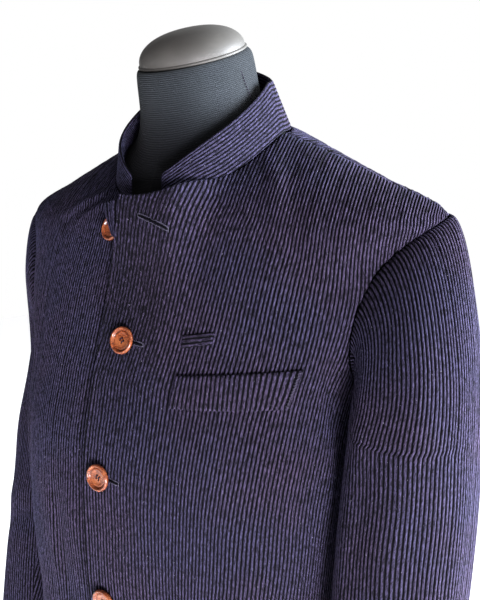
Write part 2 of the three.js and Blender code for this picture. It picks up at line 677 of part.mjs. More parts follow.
// The stand: a round steel base with a socket, and a pole with a plate under the dress form.
const BASE_RADIUS = 175;
const BASE_EDGE = 3; // thickness at the rim
const BASE_HEIGHT = 8; // thickness near the pole
const POLE_RADIUS = 14;
const SOCKET_RADIUS = 22;
const SOCKET_HEIGHT = 60;
const PLATE_RADIUS = 40;
const PLATE_THICKNESS = 6;
function makeStand() {
  const base = [
    [0, 0],
    [BASE_RADIUS, 0],
    [BASE_RADIUS, BASE_EDGE],
    [BASE_RADIUS - 6, BASE_EDGE + 2],
    [60, BASE_HEIGHT],
    [SOCKET_RADIUS + 2, BASE_HEIGHT + 4],
    [SOCKET_RADIUS, BASE_HEIGHT + SOCKET_HEIGHT],
    [0, BASE_HEIGHT + SOCKET_HEIGHT],
  ].map(([x, y]) => new THREE.Vector2(x, y));
  addMesh("stand_base", new THREE.LatheGeometry(base, 40).rotateX(Math.PI / 2), STAND_STEEL);
  const low = BASE_HEIGHT + SOCKET_HEIGHT + SEAM_GAP;
  const high = FORM_BOTTOM - SEAM_GAP;
  const pole = [
    [0, low],
    [POLE_RADIUS, low],
    [POLE_RADIUS, high - 20],
    [PLATE_RADIUS, high - PLATE_THICKNESS],
    [PLATE_RADIUS, high],
    [0, high],
  ].map(([x, y]) => new THREE.Vector2(x, y));
  addMesh("stand_pole", new THREE.LatheGeometry(pole, 24).rotateX(Math.PI / 2), STAND_STEEL);
}

makeStand();
makeForm();
makeNeckCap();
makeFronts();
addPair("back", backGrids(), FABRIC);
makeSleeves();
makeCollar();
makePatches();
makeButtons();

export default group;
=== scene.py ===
"""Corduroy jacket with a band collar on a limbless dress form, with its cloth, buttons and stand.

Lengths are millimetres until a mesh is made, which is in metres. +Z is up, -Y the jacket's front and
+X the wearer's left. The surfaces are the ones that the solids are made from.
"""

import math

import bpy
import numpy as np
from mathutils import Matrix, Vector


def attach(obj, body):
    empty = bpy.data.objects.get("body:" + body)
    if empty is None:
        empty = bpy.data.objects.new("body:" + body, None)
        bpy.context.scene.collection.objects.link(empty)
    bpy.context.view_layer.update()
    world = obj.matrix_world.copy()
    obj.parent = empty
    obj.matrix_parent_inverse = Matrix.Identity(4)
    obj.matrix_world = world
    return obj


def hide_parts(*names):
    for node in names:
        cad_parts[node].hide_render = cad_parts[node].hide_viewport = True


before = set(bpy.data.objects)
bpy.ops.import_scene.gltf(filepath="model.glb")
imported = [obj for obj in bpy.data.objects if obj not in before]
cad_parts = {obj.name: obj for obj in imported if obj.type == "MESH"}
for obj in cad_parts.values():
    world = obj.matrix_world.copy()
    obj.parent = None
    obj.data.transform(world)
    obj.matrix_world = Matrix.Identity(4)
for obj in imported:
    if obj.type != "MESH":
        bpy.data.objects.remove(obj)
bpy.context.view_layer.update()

MM = 0.001
CLOTH = 2.2
COLLAR_CLOTH = 3.0
SEAM_GAP = 0.3
SEAM_HALF = SEAM_GAP / 2
OVERLAP = 22.0
COLLAR_HEIGHT_END = 20.0
COLLAR_HEIGHT_FULL = 43.0
BUTTON_RADIUS = 11.2
BUTTON_THICKNESS = 4.2
WALE_PITCH = 3.3
WALE_DEPTH = 1.6
random = np.random.default_rng(7)


def table(columns, rows):
    """A dict of numpy columns from rows with named columns."""
    return {name: np.array([row[k] for row in rows], float) for k, name in enumerate(columns)}


# The body's rings, from the hem up to the neck seam: see body_point.
RINGS = table(["zFront", "zSide", "zBack", "half", "front", "back", "mid", "square", "ease"], [
    [762, 768, 768, 170, -127, 124, 4, 2.5, 15],  # hem
    [860, 862, 862, 170, -123, 122, 4, 2.5, 13],  # seat
    [960, 962, 962, 162, -119, 106, 0, 2.5, 12],  # hip
    [1060, 1062, 1062, 154, -119, 92, -4, 2.5, 14],  # waist
    [1150, 1152, 1152, 160, -126, 98, -4, 2.5, 11],  # ribs
    [1228, 1230, 1230, 165, -126, 110, 0, 2.5, 7],  # chest
    [1282, 1283, 1285, 170, -115, 116, 6, 2.4, 7],  # underarm
    [1324, 1336, 1338, 190, -104, 118, 9, 2.1, 7],  # shoulder blade
    [1358, 1390, 1390, 207, -96, 115, 16, 1.8, 5],  # yoke
    [1386, 1428, 1445, 222, -89, 108, 21, 1.55, 7],  # shoulder
    [1406, 1456, 1487, 168, -84, 98, 24, 1.7, 4.5],  # trapezius
    [1422, 1480, 1513, 116, -80, 92, 22, 1.8, 3.5],  # nape
    [1435, 1494, 1517, 80, -77, 84, 17, 1.9, 3],  # neck seam
])
UNDERARM = 6
SHOULDER = 9
NECK = 12
RING_HEIGHT_POWER = 1.2
ARMHOLE_FRONT = math.radians(19)
ARMHOLE_BACK = math.radians(20)
SIDE_ANGLE = math.radians(92)
ARMHOLE_LOW_POWER = 0.7
ARMHOLE_FULL_POWER = 0.6

SLEEVE_COLUMNS = ["z", "x", "y", "outer", "inner", "depth"]
LEFT_SLEEVE = table(SLEEVE_COLUMNS, [
    [1262, 214, -2, 48, 43, 69],  # biceps
    [1180, 212, -4, 51, 46, 68],
    [1080, 210, -8, 50, 46, 65],
    [980, 209, -20, 46, 42, 60],
    [880, 210, -36, 40, 37, 54],
    [798, 211, -48, 37, 35, 50],  # cuff
])
RIGHT_SLEEVE = table(SLEEVE_COLUMNS, [
    [1262, 205, 49, 43, 38, 60],  # biceps
    [1180, 217, 44, 46, 42, 61],
    [1080, 226, 33, 46, 43, 60],
    [980, 233, 20, 43, 40, 57],
    [880, 236, 6, 40, 37, 53],
    [798, 237, -4, 37, 35, 50],  # cuff
])
CUFF_ROW = 6.0


def smooth(low, high, value):
    t = np.clip((value - low) / (high - low), 0, 1)
    return t * t * (3 - 2 * t)


def lerp(a, b, t):
    return a + (b - a) * t


def sample(rows, at):
    """The table's columns at fractional rows, by a Catmull-Rom spline."""
    at = np.asarray(at, float)
    last = len(next(iter(rows.values()))) - 1
    i = np.clip(np.floor(at).astype(int), 0, last - 1)
    t = at - i
    t2 = t * t
    t3 = t2 * t
    out = {}
    for key, column in rows.items():
        a, b = column[np.clip(i - 1, 0, last)], column[i]
        c, d = column[i + 1], column[np.clip(i + 2, 0, last)]
        out[key] = ((2 * t3 - 3 * t2 + 1) * b + (t3 - 2 * t2 + t) * (c - a) / 2
                    + (3 * t2 - 2 * t3) * c + (t3 - t2) * (d - b) / 2)
    return out


def super_reach(across, along, half, depth, square):
    return (np.abs(across / half) ** square + np.abs(along / depth) ** square) ** (-1 / square)


def body_point(level, angle):
    """A point of the body's surface: level counts rings, angle 0 is the front, a quarter turn the left."""
    level, angle = np.broadcast_arrays(np.asarray(level, float), np.asarray(angle, float))
    ring = sample(RINGS, level)
    sin, cos = np.sin(angle), np.cos(angle)
    depth = np.where(cos >= 0, ring["mid"] - ring["front"], ring["back"] - ring["mid"])
    reach = super_reach(sin, cos, ring["half"], depth, ring["square"])
    z_end = np.where(cos >= 0, ring["zFront"], ring["zBack"])
    z = ring["zSide"] + (z_end - ring["zSide"]) * np.abs(cos) ** RING_HEIGHT_POWER
    return np.stack([reach * sin, ring["mid"] - reach * cos, z], -1)


def unit(vectors):
    return vectors / np.maximum(np.linalg.norm(vectors, axis=-1, keepdims=True), 1e-9)


def normal_of(surface, a, b, step=1e-3):
    along_a = surface(a + step, b) - surface(a - step, b)
    along_b = surface(a, b + step) - surface(a, b - step)
    return unit(np.cross(along_b, along_a))


def body_normal(level, angle):
    return normal_of(body_point, np.clip(level, 0.002, NECK - 0.002), angle)


def body_offset(level, angle, out):
    return body_point(level, angle) + body_normal(level, angle) * np.asarray(out, float)[..., None]


SHOULDER_SEAM_SETTLES = 0.35


def side_edge(level, armhole):
    """The angle of the side seam, the armhole's edge and the shoulder seam, which runs on the ridge."""
    t = np.clip((level - UNDERARM) / (SHOULDER - UNDERARM), 0, 1)
    seam = lerp(SIDE_ANGLE, math.pi / 2, smooth(SHOULDER, SHOULDER + SHOULDER_SEAM_SETTLES, level))
    return seam + armhole * np.sin(math.pi * t ** ARMHOLE_LOW_POWER) ** ARMHOLE_FULL_POWER


def seam_angle(level):
    return SEAM_HALF / sample(RINGS, level)["half"]


WIDEST_ANGLE = 1.2
ANGLE_HALVINGS = 26
LEVEL_HALVINGS = 24


def angle_at_x(level, x, near_back=False):
    """The angle at which a ring passes x, near the front's middle or the back's."""
    level, x = np.broadcast_arrays(np.asarray(level, float), np.asarray(x, float))
    low, high = np.full(level.shape, -WIDEST_ANGLE), np.full(level.shape, WIDEST_ANGLE)
    for _ in range(ANGLE_HALVINGS):
        middle = (low + high) / 2
        found = body_point(level, math.pi - middle if near_back else middle)[..., 0]
        low, high = np.where(found < x, middle, low), np.where(found < x, high, middle)
    middle = (low + high) / 2
    return math.pi - middle if near_back else middle


def front_at(x, z):
    """The points of the front at x and z, and the normals there."""
    x, z = np.broadcast_arrays(np.asarray(x, float), np.asarray(z, float))
    low, high = np.zeros(x.shape), np.full(x.shape, float(NECK))
    for _ in range(LEVEL_HALVINGS):
        level = (low + high) / 2
        found = body_point(level, angle_at_x(level, x))[..., 2]
        low, high = np.where(found < z, level, low), np.where(found < z, high, level)
    level = (low + high) / 2
    angle = angle_at_x(level, x)
    return body_point(level, angle), body_normal(level, angle)


# The left front stands off over the right one, and off the neck where its top button is open.
OVERLAP_ROOM = 0.8
OVERLAP_FADE_FROM = OVERLAP + 6
OVERLAP_FADE_TO = OVERLAP + 44
OPEN_TOP_Z = 1345.0
OPEN_TOP_POWER = 1.3
OPEN_TOP_LIFT = 13.0
OPEN_TOP_DRAW = 11.0


def open_share(z):
    return smooth(OPEN_TOP_Z, RINGS["zFront"][NECK], z) ** OPEN_TOP_POWER


def front_lift(points):
    share = 1 - smooth(OVERLAP_FADE_FROM, OVERLAP_FADE_TO, points[..., 0])
    return share * (CLOTH + OVERLAP_ROOM + OPEN_TOP_LIFT * open_share(points[..., 2]))


def armhole_point(turn):
    level = lerp(UNDERARM, SHOULDER, (1 + np.cos(turn)) / 2)
    armhole = np.where(np.sin(turn) >= 0, -ARMHOLE_FRONT, ARMHOLE_BACK)
    return body_point(level, side_edge(level, armhole))


SQUARE_INNER = 3.3
SQUARE_OUTER = 2.1
CROWN_LEAVE = 15.0
CROWN_DROP = 74.0
UNDERARM_LEAVE = 0.2
UNDERARM_DROP = 0.45
HEAD_ROOM = SEAM_GAP + 0.4
LEAVE_OUT, LEAVE_FORWARD, LEAVE_UP = 0.9, -0.4, 0.05
OUTER_HALF_FROM, OUTER_HALF_TO = -0.35, 0.35
SQUARE_FROM, SQUARE_TO = -0.8, 0.4


def sleeve_ring_point(arm, at, turn):
    ring = sample(arm, at)
    sin, cos = np.sin(turn), np.cos(turn)
    half = lerp(ring["inner"], ring["outer"], smooth(OUTER_HALF_FROM, OUTER_HALF_TO, cos))
    square = lerp(SQUARE_INNER, SQUARE_OUTER, smooth(SQUARE_FROM, SQUARE_TO, cos))
    reach = super_reach(cos, sin, half, ring["depth"], square)
    return np.stack([ring["x"] + reach * cos, ring["y"] - reach * sin, ring["z"] + 0 * cos], -1)


def sleeve_head_point(arm, row, turn):
    crown = np.maximum(0, np.cos(turn))[..., None]
    start = armhole_point(turn)
    end = sleeve_ring_point(arm, 0 * turn, turn)
    ahead, up = LEAVE_FORWARD * np.sin(turn), LEAVE_UP * np.cos(turn)
    out = unit(np.stack([LEAVE_OUT + 0 * turn, ahead, up], -1))
    reach = np.linalg.norm(end - start, axis=-1, keepdims=True)
    leave = start + out * lerp(UNDERARM_LEAVE * reach, CROWN_LEAVE, crown)
    arrive = end + np.array([0, 0, 1.0]) * lerp(UNDERARM_DROP * reach, CROWN_DROP, crown)
    start = start + out * HEAD_ROOM
    t = np.clip(row, 0, 1)[..., None]
    return ((1 - t) ** 3 * start + 3 * (1 - t) ** 2 * t * leave + 3 * (1 - t) * t * t * arrive
            + t ** 3 * end)


def sleeve_point(arm, row, turn):
    row, turn = np.broadcast_arrays(np.asarray(row, float), np.asarray(turn, float))
    low = sleeve_ring_point(arm, np.maximum(row - 1, 0), turn)
    head = sleeve_head_point(arm, np.minimum(row, 1), turn)
    return np.where((row >= 1)[..., None], low, head)


# Seeded smooth noise, about -1 to 1, with a feature size of about one unit.
NOISE_WAVES = random.normal(size=(9, 3)) * 2.2
NOISE_PHASES = random.uniform(0, 2 * math.pi, size=9)
NOISE_REACH = 4.2


def soft_noise(a, b, seed=0.0):
    total = 0
    for (u, v, w), phase in zip(NOISE_WAVES, NOISE_PHASES):
        total = total + np.sin(u * a + v * b + w * seed + phase)
    return total / NOISE_REACH


FOLD_STRENGTH = 1.4
FOLD_END_SHARE = 0.35  # how much of a fold's height is left at its ends


def fold_depth(points, folds):
    """What the folds add along the normal. Each is a soft ridge or trough from one point to another,
    with its half width and its height."""
    total = np.zeros(points.shape[:-1])
    for start, end, width, depth in folds:
        start, end = np.array(start, float), np.array(end, float)
        run = end - start
        t = np.clip((points - start) @ run / (run @ run), 0, 1)
        far = np.linalg.norm(points - (start + t[..., None] * run), axis=-1)
        swell = FOLD_END_SHARE + (1 - FOLD_END_SHARE) * np.sin(math.pi * t)
        total += FOLD_STRENGTH * depth * np.exp(-((far / width) ** 2)) * swell
    return total


# Where the columns of a cloth grid lie in one wale, as shares of its pitch from groove to groove.
WALE_COLUMNS = (0.0, 0.12, 0.33, 0.67, 0.88)
WALE_BEND = 0.75  # how far a wale wanders to its side
WALE_ROUNDNESS = 0.75
WALE_FLANK_POWER = 2.2
WALE_VARIETY = random.uniform(0.8, 1.12, size=4096)


def wale_profile(count):
    """0 in the groove between two wales, 1 on the ridge; count is the place in wales."""
    off = np.abs(2 * (count - np.floor(count)) - 1)
    return np.clip(1 - off ** WALE_FLANK_POWER, 0, 1) ** WALE_ROUNDNESS


def column_places(low, high):
    first, last = math.floor(low / WALE_PITCH) - 1, math.ceil(high / WALE_PITCH) + 1
    places = np.array([(k + share) * WALE_PITCH for k in range(first, last) for share in WALE_COLUMNS])
    return places[(places > low - WALE_PITCH) & (places < high + WALE_PITCH)]


def signed_volume(points, groups):
    """Six times the volume inside the faces, negative where they are wound inwards."""
    total = 0.0
    for group in groups:
        for k in range(1, group.shape[1] - 1):
            a, b, c = points[group[:, 0]], points[group[:, k]], points[group[:, k + 1]]
            total += np.einsum("ij,ij->", a, np.cross(b, c))
    return total


def place_in_scene(name, data):
    made = bpy.data.objects.new(name, data)
    bpy.context.scene.collection.objects.link(made)
    return made


def make_mesh(name, points, groups, attributes):
    """A closed mesh from points in millimetres and groups of faces, each an array of equal-sided faces."""
    groups = [np.asarray(group, int) for group in groups if len(group)]
    points = np.asarray(points, float)
    if signed_volume(points - points.mean(0), groups) < 0:
        groups = [group[:, ::-1] for group in groups]
    mesh = bpy.data.meshes.new(name)
    mesh.vertices.add(len(points))
    mesh.vertices.foreach_set("co", (points * MM).astype(np.float32).ravel())
    sizes = np.concatenate([np.full(len(group), group.shape[1]) for group in groups])
    loops = np.concatenate([group.ravel() for group in groups])
    mesh.loops.add(len(loops))
    mesh.loops.foreach_set("vertex_index", loops.astype(np.int32))
    mesh.polygons.add(len(sizes))
    mesh.polygons.foreach_set("loop_start", np.concatenate([[0], np.cumsum(sizes)[:-1]]).astype(np.int32))
    mesh.update(calc_edges=True)
    mesh.validate()
    for key, values in attributes.items():
        kind = "FLOAT_VECTOR" if values.ndim == 2 else "FLOAT"
        layer = mesh.attributes.new(key, kind, "POINT")
        field = "vector" if values.ndim == 2 else "value"
        layer.data.foreach_set(field, np.asarray(values, np.float32).ravel())
    mesh.shade_smooth()
    return place_in_scene(name, mesh)


def ring_quads(rings, size, start=0):
    """The faces between rings of points, each of one size and joined to itself at its end."""
    ring, k = np.meshgrid(np.arange(rings - 1), np.arange(size), indexing="ij")
    low, next_k = start + ring * size, (k + 1) % size
    return np.stack([low + k, low + next_k, low + size + next_k, low + size + k], -1).reshape(-1, 4)


def dress(piece, material, node):
    """The piece takes its material and the place of one of the solids."""
    piece.data.materials.append(material)
    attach(piece, "root")
    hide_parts(node)


def finish_cloth(piece, material, node):
    dress(piece, material, node)


RIM_INSET = 1.4  # the turned front edge is a little thicker
RIM_WIDTH = 0.9
FRONT_RIM = 0.9
WORN_RIDGE = 0.7  # how a groove looks where the nap is pressed flat
PILE_SEAT = 0.78  # the share of a wale's height that is sunk into the cloth
WANDER_ACROSS = 45
WANDER_ALONG = 40
WANDER_FADE = 6
VARIETY_STEP = 97
COLUMN_ROOM = 0.25
EDGE_ROLL = 0.3  # how far the outer face draws in at its very edge
EDGE_WIDTH = 0.7
INNER_ROW_STEP = 4
INNER_COLUMNS = 34
INNER_RIDGE = 0.6  # how the smooth inner face looks


def cloth_shell(name, lines, lengths, point, normal_at, folds, seed, mirror, lift=None, relief_share=None,
                rim=0.0):
    """A closed shell of corduroy. lines has for each row its row number, and samples of the other
    parameter and of the wale coordinate; point and normal_at give the surface from both parameters."""
    low = min(line[2].min() for line in lines)
    high = max(line[2].max() for line in lines)
    places = column_places(low, high)
    outer, inner, extra, first, last = [], [], [], [], []
    for length, (row, others, coords) in zip(lengths, lines):
        start, stop = coords[0], coords[-1]
        inside = np.nonzero((places > start + COLUMN_ROOM) & (places < stop - COLUMN_ROOM))[0]
        first.append(inside[0] - 1)
        last.append(inside[-1] + 1)
        w = np.concatenate([[start], places[inside], [stop]])
        from_side = np.minimum(w - start, stop - w)
        wander = WALE_BEND * soft_noise(w / WANDER_ACROSS, length / WANDER_ALONG, seed)
        wander *= smooth(0, WANDER_FADE, from_side)
        other = np.interp(w + wander, coords, others)
        row_of = np.full(w.shape, float(row))
        base = point(row_of, other)
        normal = normal_at(row_of, other)
        count = w / WALE_PITCH
        ridge = wale_profile(count)
        wale = np.floor(count).astype(int) + int(seed * VARIETY_STEP)
        variety = WALE_VARIETY[wale % len(WALE_VARIETY)]
        share = 1.0 if relief_share is None else relief_share(base)
        height = WALE_DEPTH * share * (ridge * variety - PILE_SEAT)
        height += fold_depth(base, folds)
        height += rim * np.exp(-(((w - start) - RIM_INSET) / RIM_WIDTH) ** 2)
        edge = np.minimum(from_side, min(length - lengths[0], lengths[-1] - length))
        height -= EDGE_ROLL * np.exp(-(edge / EDGE_WIDTH) ** 2)
        rise = 0 if lift is None else lift(base)
        outer.append(base + normal * (height + rise)[:, None])
        inner.append(base + normal * (rise - CLOTH + 0 * height)[:, None])
        shown = lerp(ridge, WORN_RIDGE, 1 - share)
        extra.append(np.stack([count, np.full(w.shape, length), shown], -1))
    return shell_object(name, outer, inner, extra, first, last, mirror)


def shell_object(name, outer, inner, extra, first, last, mirror):
    """Joins the outer rows, a coarser inner face and the rim between them into one closed mesh."""
    rows = len(outer)
    counts = [len(row) for row in outer]
    base = np.concatenate([[0], np.cumsum(counts)])
    total = base[-1]
    points = [np.concatenate(outer)]
    data = [np.concatenate(extra)]
    quads, tris, ngons = [], [], {}

    def outer_index(row, column):
        return base[row] + np.clip(column, first[row], last[row]) - first[row]

    for i in range(rows - 1):
        k = np.arange(min(first[i], first[i + 1]), max(last[i], last[i + 1]))
        a, b = outer_index(i, k), outer_index(i, k + 1)
        c, d = outer_index(i + 1, k + 1), outer_index(i + 1, k)
        full = (a != b) & (c != d)
        quads.append(np.stack([a, b, c, d], -1)[full])
        lone = (a == b) & (c != d)
        tris.append(np.stack([a, c, d], -1)[lone])
        lone = (a != b) & (c == d)
        tris.append(np.stack([a, b, c], -1)[lone])
    # The inner points: all of the end rows, both ends of each other row, and a coarse grid between.
    place = {}
    inner_points, inner_data = [], []

    def inner_index(i, j):
        key = (i, j)
        if key not in place:
            place[key] = total + len(inner_points)
            inner_points.append(inner[i][j])
            inner_data.append([extra[i][j][0], extra[i][j][1], INNER_RIDGE])
        return place[key]

    row_picks = list(range(0, rows - 1, INNER_ROW_STEP)) + [rows - 1]
    if len(row_picks) > 2 and row_picks[-1] - row_picks[-2] < INNER_ROW_STEP / 2:
        row_picks.pop(-2)

    def pick(row, column):
        return int(round(column * (counts[row] - 1) / INNER_COLUMNS))

    for p, q in zip(row_picks[:-1], row_picks[1:]):
        for j in range(INNER_COLUMNS):
            left, right = (p, pick(p, j)), (p, pick(p, j + 1))
            up_left, up_right = (q, pick(q, j)), (q, pick(q, j + 1))
            bottom, top = [left, right], [up_right, up_left]
            if p == 0:
                bottom = [(p, m) for m in range(left[1], right[1] + 1)]
            if q == rows - 1:
                top = [(q, m) for m in range(up_right[1], up_left[1] - 1, -1)]
            side_right = [(r, counts[r] - 1) for r in range(p + 1, q)] if j == INNER_COLUMNS - 1 else []
            side_left = [(r, 0) for r in range(q - 1, p, -1)] if j == 0 else []
            ring = [inner_index(*key) for key in bottom + side_right + top + side_left]
            ngons.setdefault(len(ring), []).append(ring[::-1])
    rim = [(0, m) for m in range(counts[0])]
    rim += [(r, counts[r] - 1) for r in range(1, rows)]
    rim += [(rows - 1, m) for m in range(counts[-1] - 2, -1, -1)]
    rim += [(r, 0) for r in range(rows - 2, 0, -1)]
    rim_out = np.array([base[i] + j for i, j in rim])
    rim_in = np.array([inner_index(i, j) for i, j in rim])
    quads.append(np.stack([rim_out, rim_in, np.roll(rim_in, -1), np.roll(rim_out, -1)], -1))
    points.append(np.array(inner_points))
    data.append(np.array(inner_data))
    points, data = np.concatenate(points), np.concatenate(data)
    groups = [np.concatenate(quads), np.concatenate(tris)] + [np.array(g) for g in ngons.values()]
    if mirror:
        points = points * np.array([-1.0, 1, 1])
    return make_mesh(name, points, groups, {"cloth": data})


def arc_lengths(points):
    steps = np.linalg.norm(np.diff(points, axis=0), axis=1)
    return np.concatenate([[0], np.cumsum(steps)])


PANEL_ROWS_LOW = 84
PANEL_ROWS_ARMHOLE = 38
PANEL_ROWS_SHOULDER = 60
EDGE_LEVELS = (0.0, 0.009, 0.02)
TOP_EDGE_SCALE = 4  # the rings lie closer together at the neck than at the hem


def panel_levels():
    low = np.linspace(0, UNDERARM, PANEL_ROWS_LOW, endpoint=False)[1:]
    armhole = np.linspace(UNDERARM, SHOULDER, PANEL_ROWS_ARMHOLE, endpoint=False)
    shoulder = np.linspace(SHOULDER, NECK, PANEL_ROWS_SHOULDER)[:-1]
    top = [NECK - TOP_EDGE_SCALE * e for e in reversed(EDGE_LEVELS)]
    return np.concatenate([EDGE_LEVELS, low, armhole, shoulder, top])


WALE_SAMPLES = 260

# The wales of the fronts lean outwards on their way up, more so above the chest.
DRIFT_FROM_Z = 1290.0
DRIFT_LOWEST_Z = 1080.0
DRIFT_UPPER = 0.13
DRIFT_LOWER = 0.10
DRIFT_STARTS = 30
DRIFT_FULL = 120


def wale_drift(run, z):
    upper = DRIFT_UPPER * np.maximum(0, z - DRIFT_FROM_Z)
    below = np.clip(z, DRIFT_LOWEST_Z, DRIFT_FROM_Z) - DRIFT_FROM_Z
    return upper + smooth(DRIFT_STARTS, DRIFT_FULL, run) * DRIFT_LOWER * below


REFERENCE_FROM = -0.3
REFERENCE_SAMPLES = 400


def wale_coordinate(level, angles, back):
    """The distance of points from the centre line, measured along the ring. Above the shoulder the wales
    run straight on up to the shoulder seam, so there it goes by their x alone."""
    def along(at, shown):
        points = body_point(at, shown)
        run = arc_lengths(points)
        x = points[:, 0]
        return x, run - np.interp(0.0, x, run)

    if level <= SHOULDER:
        if not back:
            return along(level, angles)[1]
        points = body_point(level, angles)
        run = arc_lengths(points)
        return run[-1] - run + SEAM_HALF
    reference = np.linspace(REFERENCE_FROM, math.pi / 2, REFERENCE_SAMPLES)
    if back:
        reference = math.pi - reference
    x, run = along(SHOULDER, reference)
    return np.interp(body_point(level, angles)[:, 0], x, run)


RIGHT_DRIFT_SHARE = -0.5
SHOULDER_DRIFT = 0.3
SHOULDER_DRIFT_FROM_Y = -60.0
SHOULDER_DRIFT_STARTS_Z = DRIFT_FROM_Z + 70
SHOULDER_DRIFT_FULL_Z = DRIFT_FROM_Z + 120
SMALLEST_STEP = 1e-4


def rising(values):
    """The values with each one above the last."""
    return np.maximum.accumulate(values) + SMALLEST_STEP * np.arange(len(values))


def front_lines(levels, lifted):
    """Lines from the front's edge round to its side; lifted is the left front, which lies on top."""
    lines = []
    for level in levels:
        edge = side_edge(level, -ARMHOLE_FRONT) - seam_angle(level)
        drawn = OPEN_TOP_DRAW * open_share(body_point(level, 0.0)[2]) if lifted else 0.0
        start = angle_at_x(level, drawn - OVERLAP)
        angles = np.linspace(start, edge, WALE_SAMPLES)
        coords = wale_coordinate(level, angles, back=False)
        points = body_point(level, angles)
        drift = wale_drift(coords, points[:, 2]) * (1.0 if lifted else RIGHT_DRIFT_SHARE)
        if lifted:
            beyond = np.maximum(0, points[:, 1] - SHOULDER_DRIFT_FROM_Y)
            share = smooth(SHOULDER_DRIFT_STARTS_Z, SHOULDER_DRIFT_FULL_Z, points[:, 2])
            drift = drift - SHOULDER_DRIFT * beyond * share
        lines.append((level, angles, rising(coords - drift)))
    return lines


def back_lines(levels):
    """Lines from the centre back to the side, so that the wale coordinate grows."""
    lines = []
    for level in levels:
        edge = side_edge(level, ARMHOLE_BACK) + seam_angle(level)
        angles = np.linspace(edge, angle_at_x(level, SEAM_HALF, near_back=True), WALE_SAMPLES)
        coords = wale_coordinate(level, angles, back=True)
        lines.append((level, angles[::-1], rising(coords[::-1])))
    return lines


WORN_STARTS_X, WORN_FULL_X = 52, 26
WORN_STARTS_Z, WORN_FULL_Z = 1250, 1330
WORN_MOST = 0.55


def flat_relief(points):
    """The nap is pressed flat near the top of the front edge."""
    near_edge = smooth(WORN_STARTS_X, WORN_FULL_X, points[..., 0])
    return 1 - WORN_MOST * (near_edge * smooth(WORN_STARTS_Z, WORN_FULL_Z, points[..., 2]))


# Each fold has its start, its end, its half width and its height: see fold_depth.
LEFT_FRONT_FOLDS = [
    ((95, 0, 1478), (131, -58, 1400), 9, -1.0),
    ((84, -12, 1478), (112, -52, 1425), 8, 1.2),
    ((131, -58, 1400), (142, -64, 1350), 12, -1.2),
    ((160, -54, 1340), (157, -40, 1250), 9, -2.0),
    ((157, -52, 1271), (159, -40, 1180), 12, 1.6),
    ((60, -112, 1240), (30, -120, 1130), 22, 1.2),
    ((120, -90, 1150), (90, -100, 1050), 18, 1.6),
    ((130, -85, 1120), (104, -96, 1035), 11, -1.6),
    ((60, -115, 1020), (80, -112, 880), 26, 1.5),
    ((130, -85, 1000), (140, -75, 830), 24, -1.6),
]
RIGHT_FRONT_FOLDS = [
    ((47, -60, 1446), (122, -52, 1412), 5.5, 2.0),
    ((52, -60, 1438), (118, -56, 1405), 5, -1.6),
    ((44, -66, 1433), (77, -66, 1420), 4.5, 1.4),
    ((56, -52, 1452), (106, -48, 1434), 5, -1.3),
    ((70, -50, 1446), (122, -42, 1426), 5, 1.5),
    ((44, -124, 1198), (37, -124, 1146), 9, 1.6),
    ((63, -121, 1180), (54, -117, 1085), 9, -1.8),
    ((78, -112, 1200), (66, -114, 1100), 9, 1.4),
    ((120, -90, 1150), (92, -100, 1050), 18, 1.5),
    ((60, -115, 1020), (84, -112, 890), 26, -1.4),
]
BACK_FOLDS = [
    ((40, 98, 1110), (110, 86, 1090), 14, -1.8),
    ((30, 96, 1075), (120, 80, 1050), 13, 1.8),
    ((120, 60, 1300), (150, 70, 1230), 16, 1.6),
    ((150, 60, 1220), (120, 80, 1120), 18, -1.4),
    ((70, 115, 960), (80, 120, 830), 26, 1.6),
    ((20, 105, 1440), (90, 100, 1400), 16, -1.0),
]


def make_fronts(corduroy):
    levels = panel_levels()
    lengths = arc_lengths(body_point(levels, math.radians(30)))
    for side, lifted, folds, seed in (("left", True, LEFT_FRONT_FOLDS, 0.0),
                                      ("right", False, RIGHT_FRONT_FOLDS, 3.1)):
        on_top = {"lift": front_lift, "relief_share": flat_relief, "rim": FRONT_RIM} if lifted else {}
        piece = cloth_shell("cloth_front_" + side, front_lines(levels, lifted), lengths, body_point,
                            body_normal, folds, seed, mirror=not lifted, **on_top)
        finish_cloth(piece, corduroy, "front_" + side)


def make_backs(corduroy):
    levels = panel_levels()
    lengths = arc_lengths(body_point(levels, math.radians(150)))
    for side, seed in (("left", 5.3), ("right", 7.9)):
        piece = cloth_shell("cloth_back_" + side, back_lines(levels), lengths, body_point, body_normal,
                            BACK_FOLDS, seed, mirror=side == "right")
        finish_cloth(piece, corduroy, "back_" + side)


FRONT_SEAM = math.radians(118)
BACK_SEAM = math.radians(-112)
SEAM_TURN = SEAM_HALF / LEFT_SLEEVE["inner"][5]
SLEEVE_HEAD_ROWS = 44
SLEEVE_ARM_ROWS = 78
CUFF_EDGE_STEPS = (0, 0.01, 0.025)
HEAD_EDGE_ROWS = (0.012, 0.005, 0.0)


def sleeve_rows():
    """From the cuff up to the armhole."""
    cuff = [CUFF_ROW - step for step in CUFF_EDGE_STEPS]
    arm = np.linspace(CUFF_ROW, 1, SLEEVE_ARM_ROWS, endpoint=False)[1:]
    head = np.linspace(1, 0, SLEEVE_HEAD_ROWS)[:-1]
    return np.concatenate([cuff, arm, head, HEAD_EDGE_ROWS])


PLUMB_TURN = 0.35
SLEEVE_SAMPLES = 1081


def plumb_turns(row, turns):
    """In the head the wales at the front and back run on straight up and end at the armhole seam, and
    those at the crown leave it squarely. This gives the turns at which they pass the biceps."""
    share = np.sign(turns) * smooth(0.3, 1.0, np.abs(np.sin(turns)))
    beyond = np.where(np.abs(turns) > math.pi / 2, np.sign(turns), share)
    inside = smooth(-1.0, -0.75, np.cos(turns))
    return rising(turns + PLUMB_TURN * (1 - row) * beyond * inside)


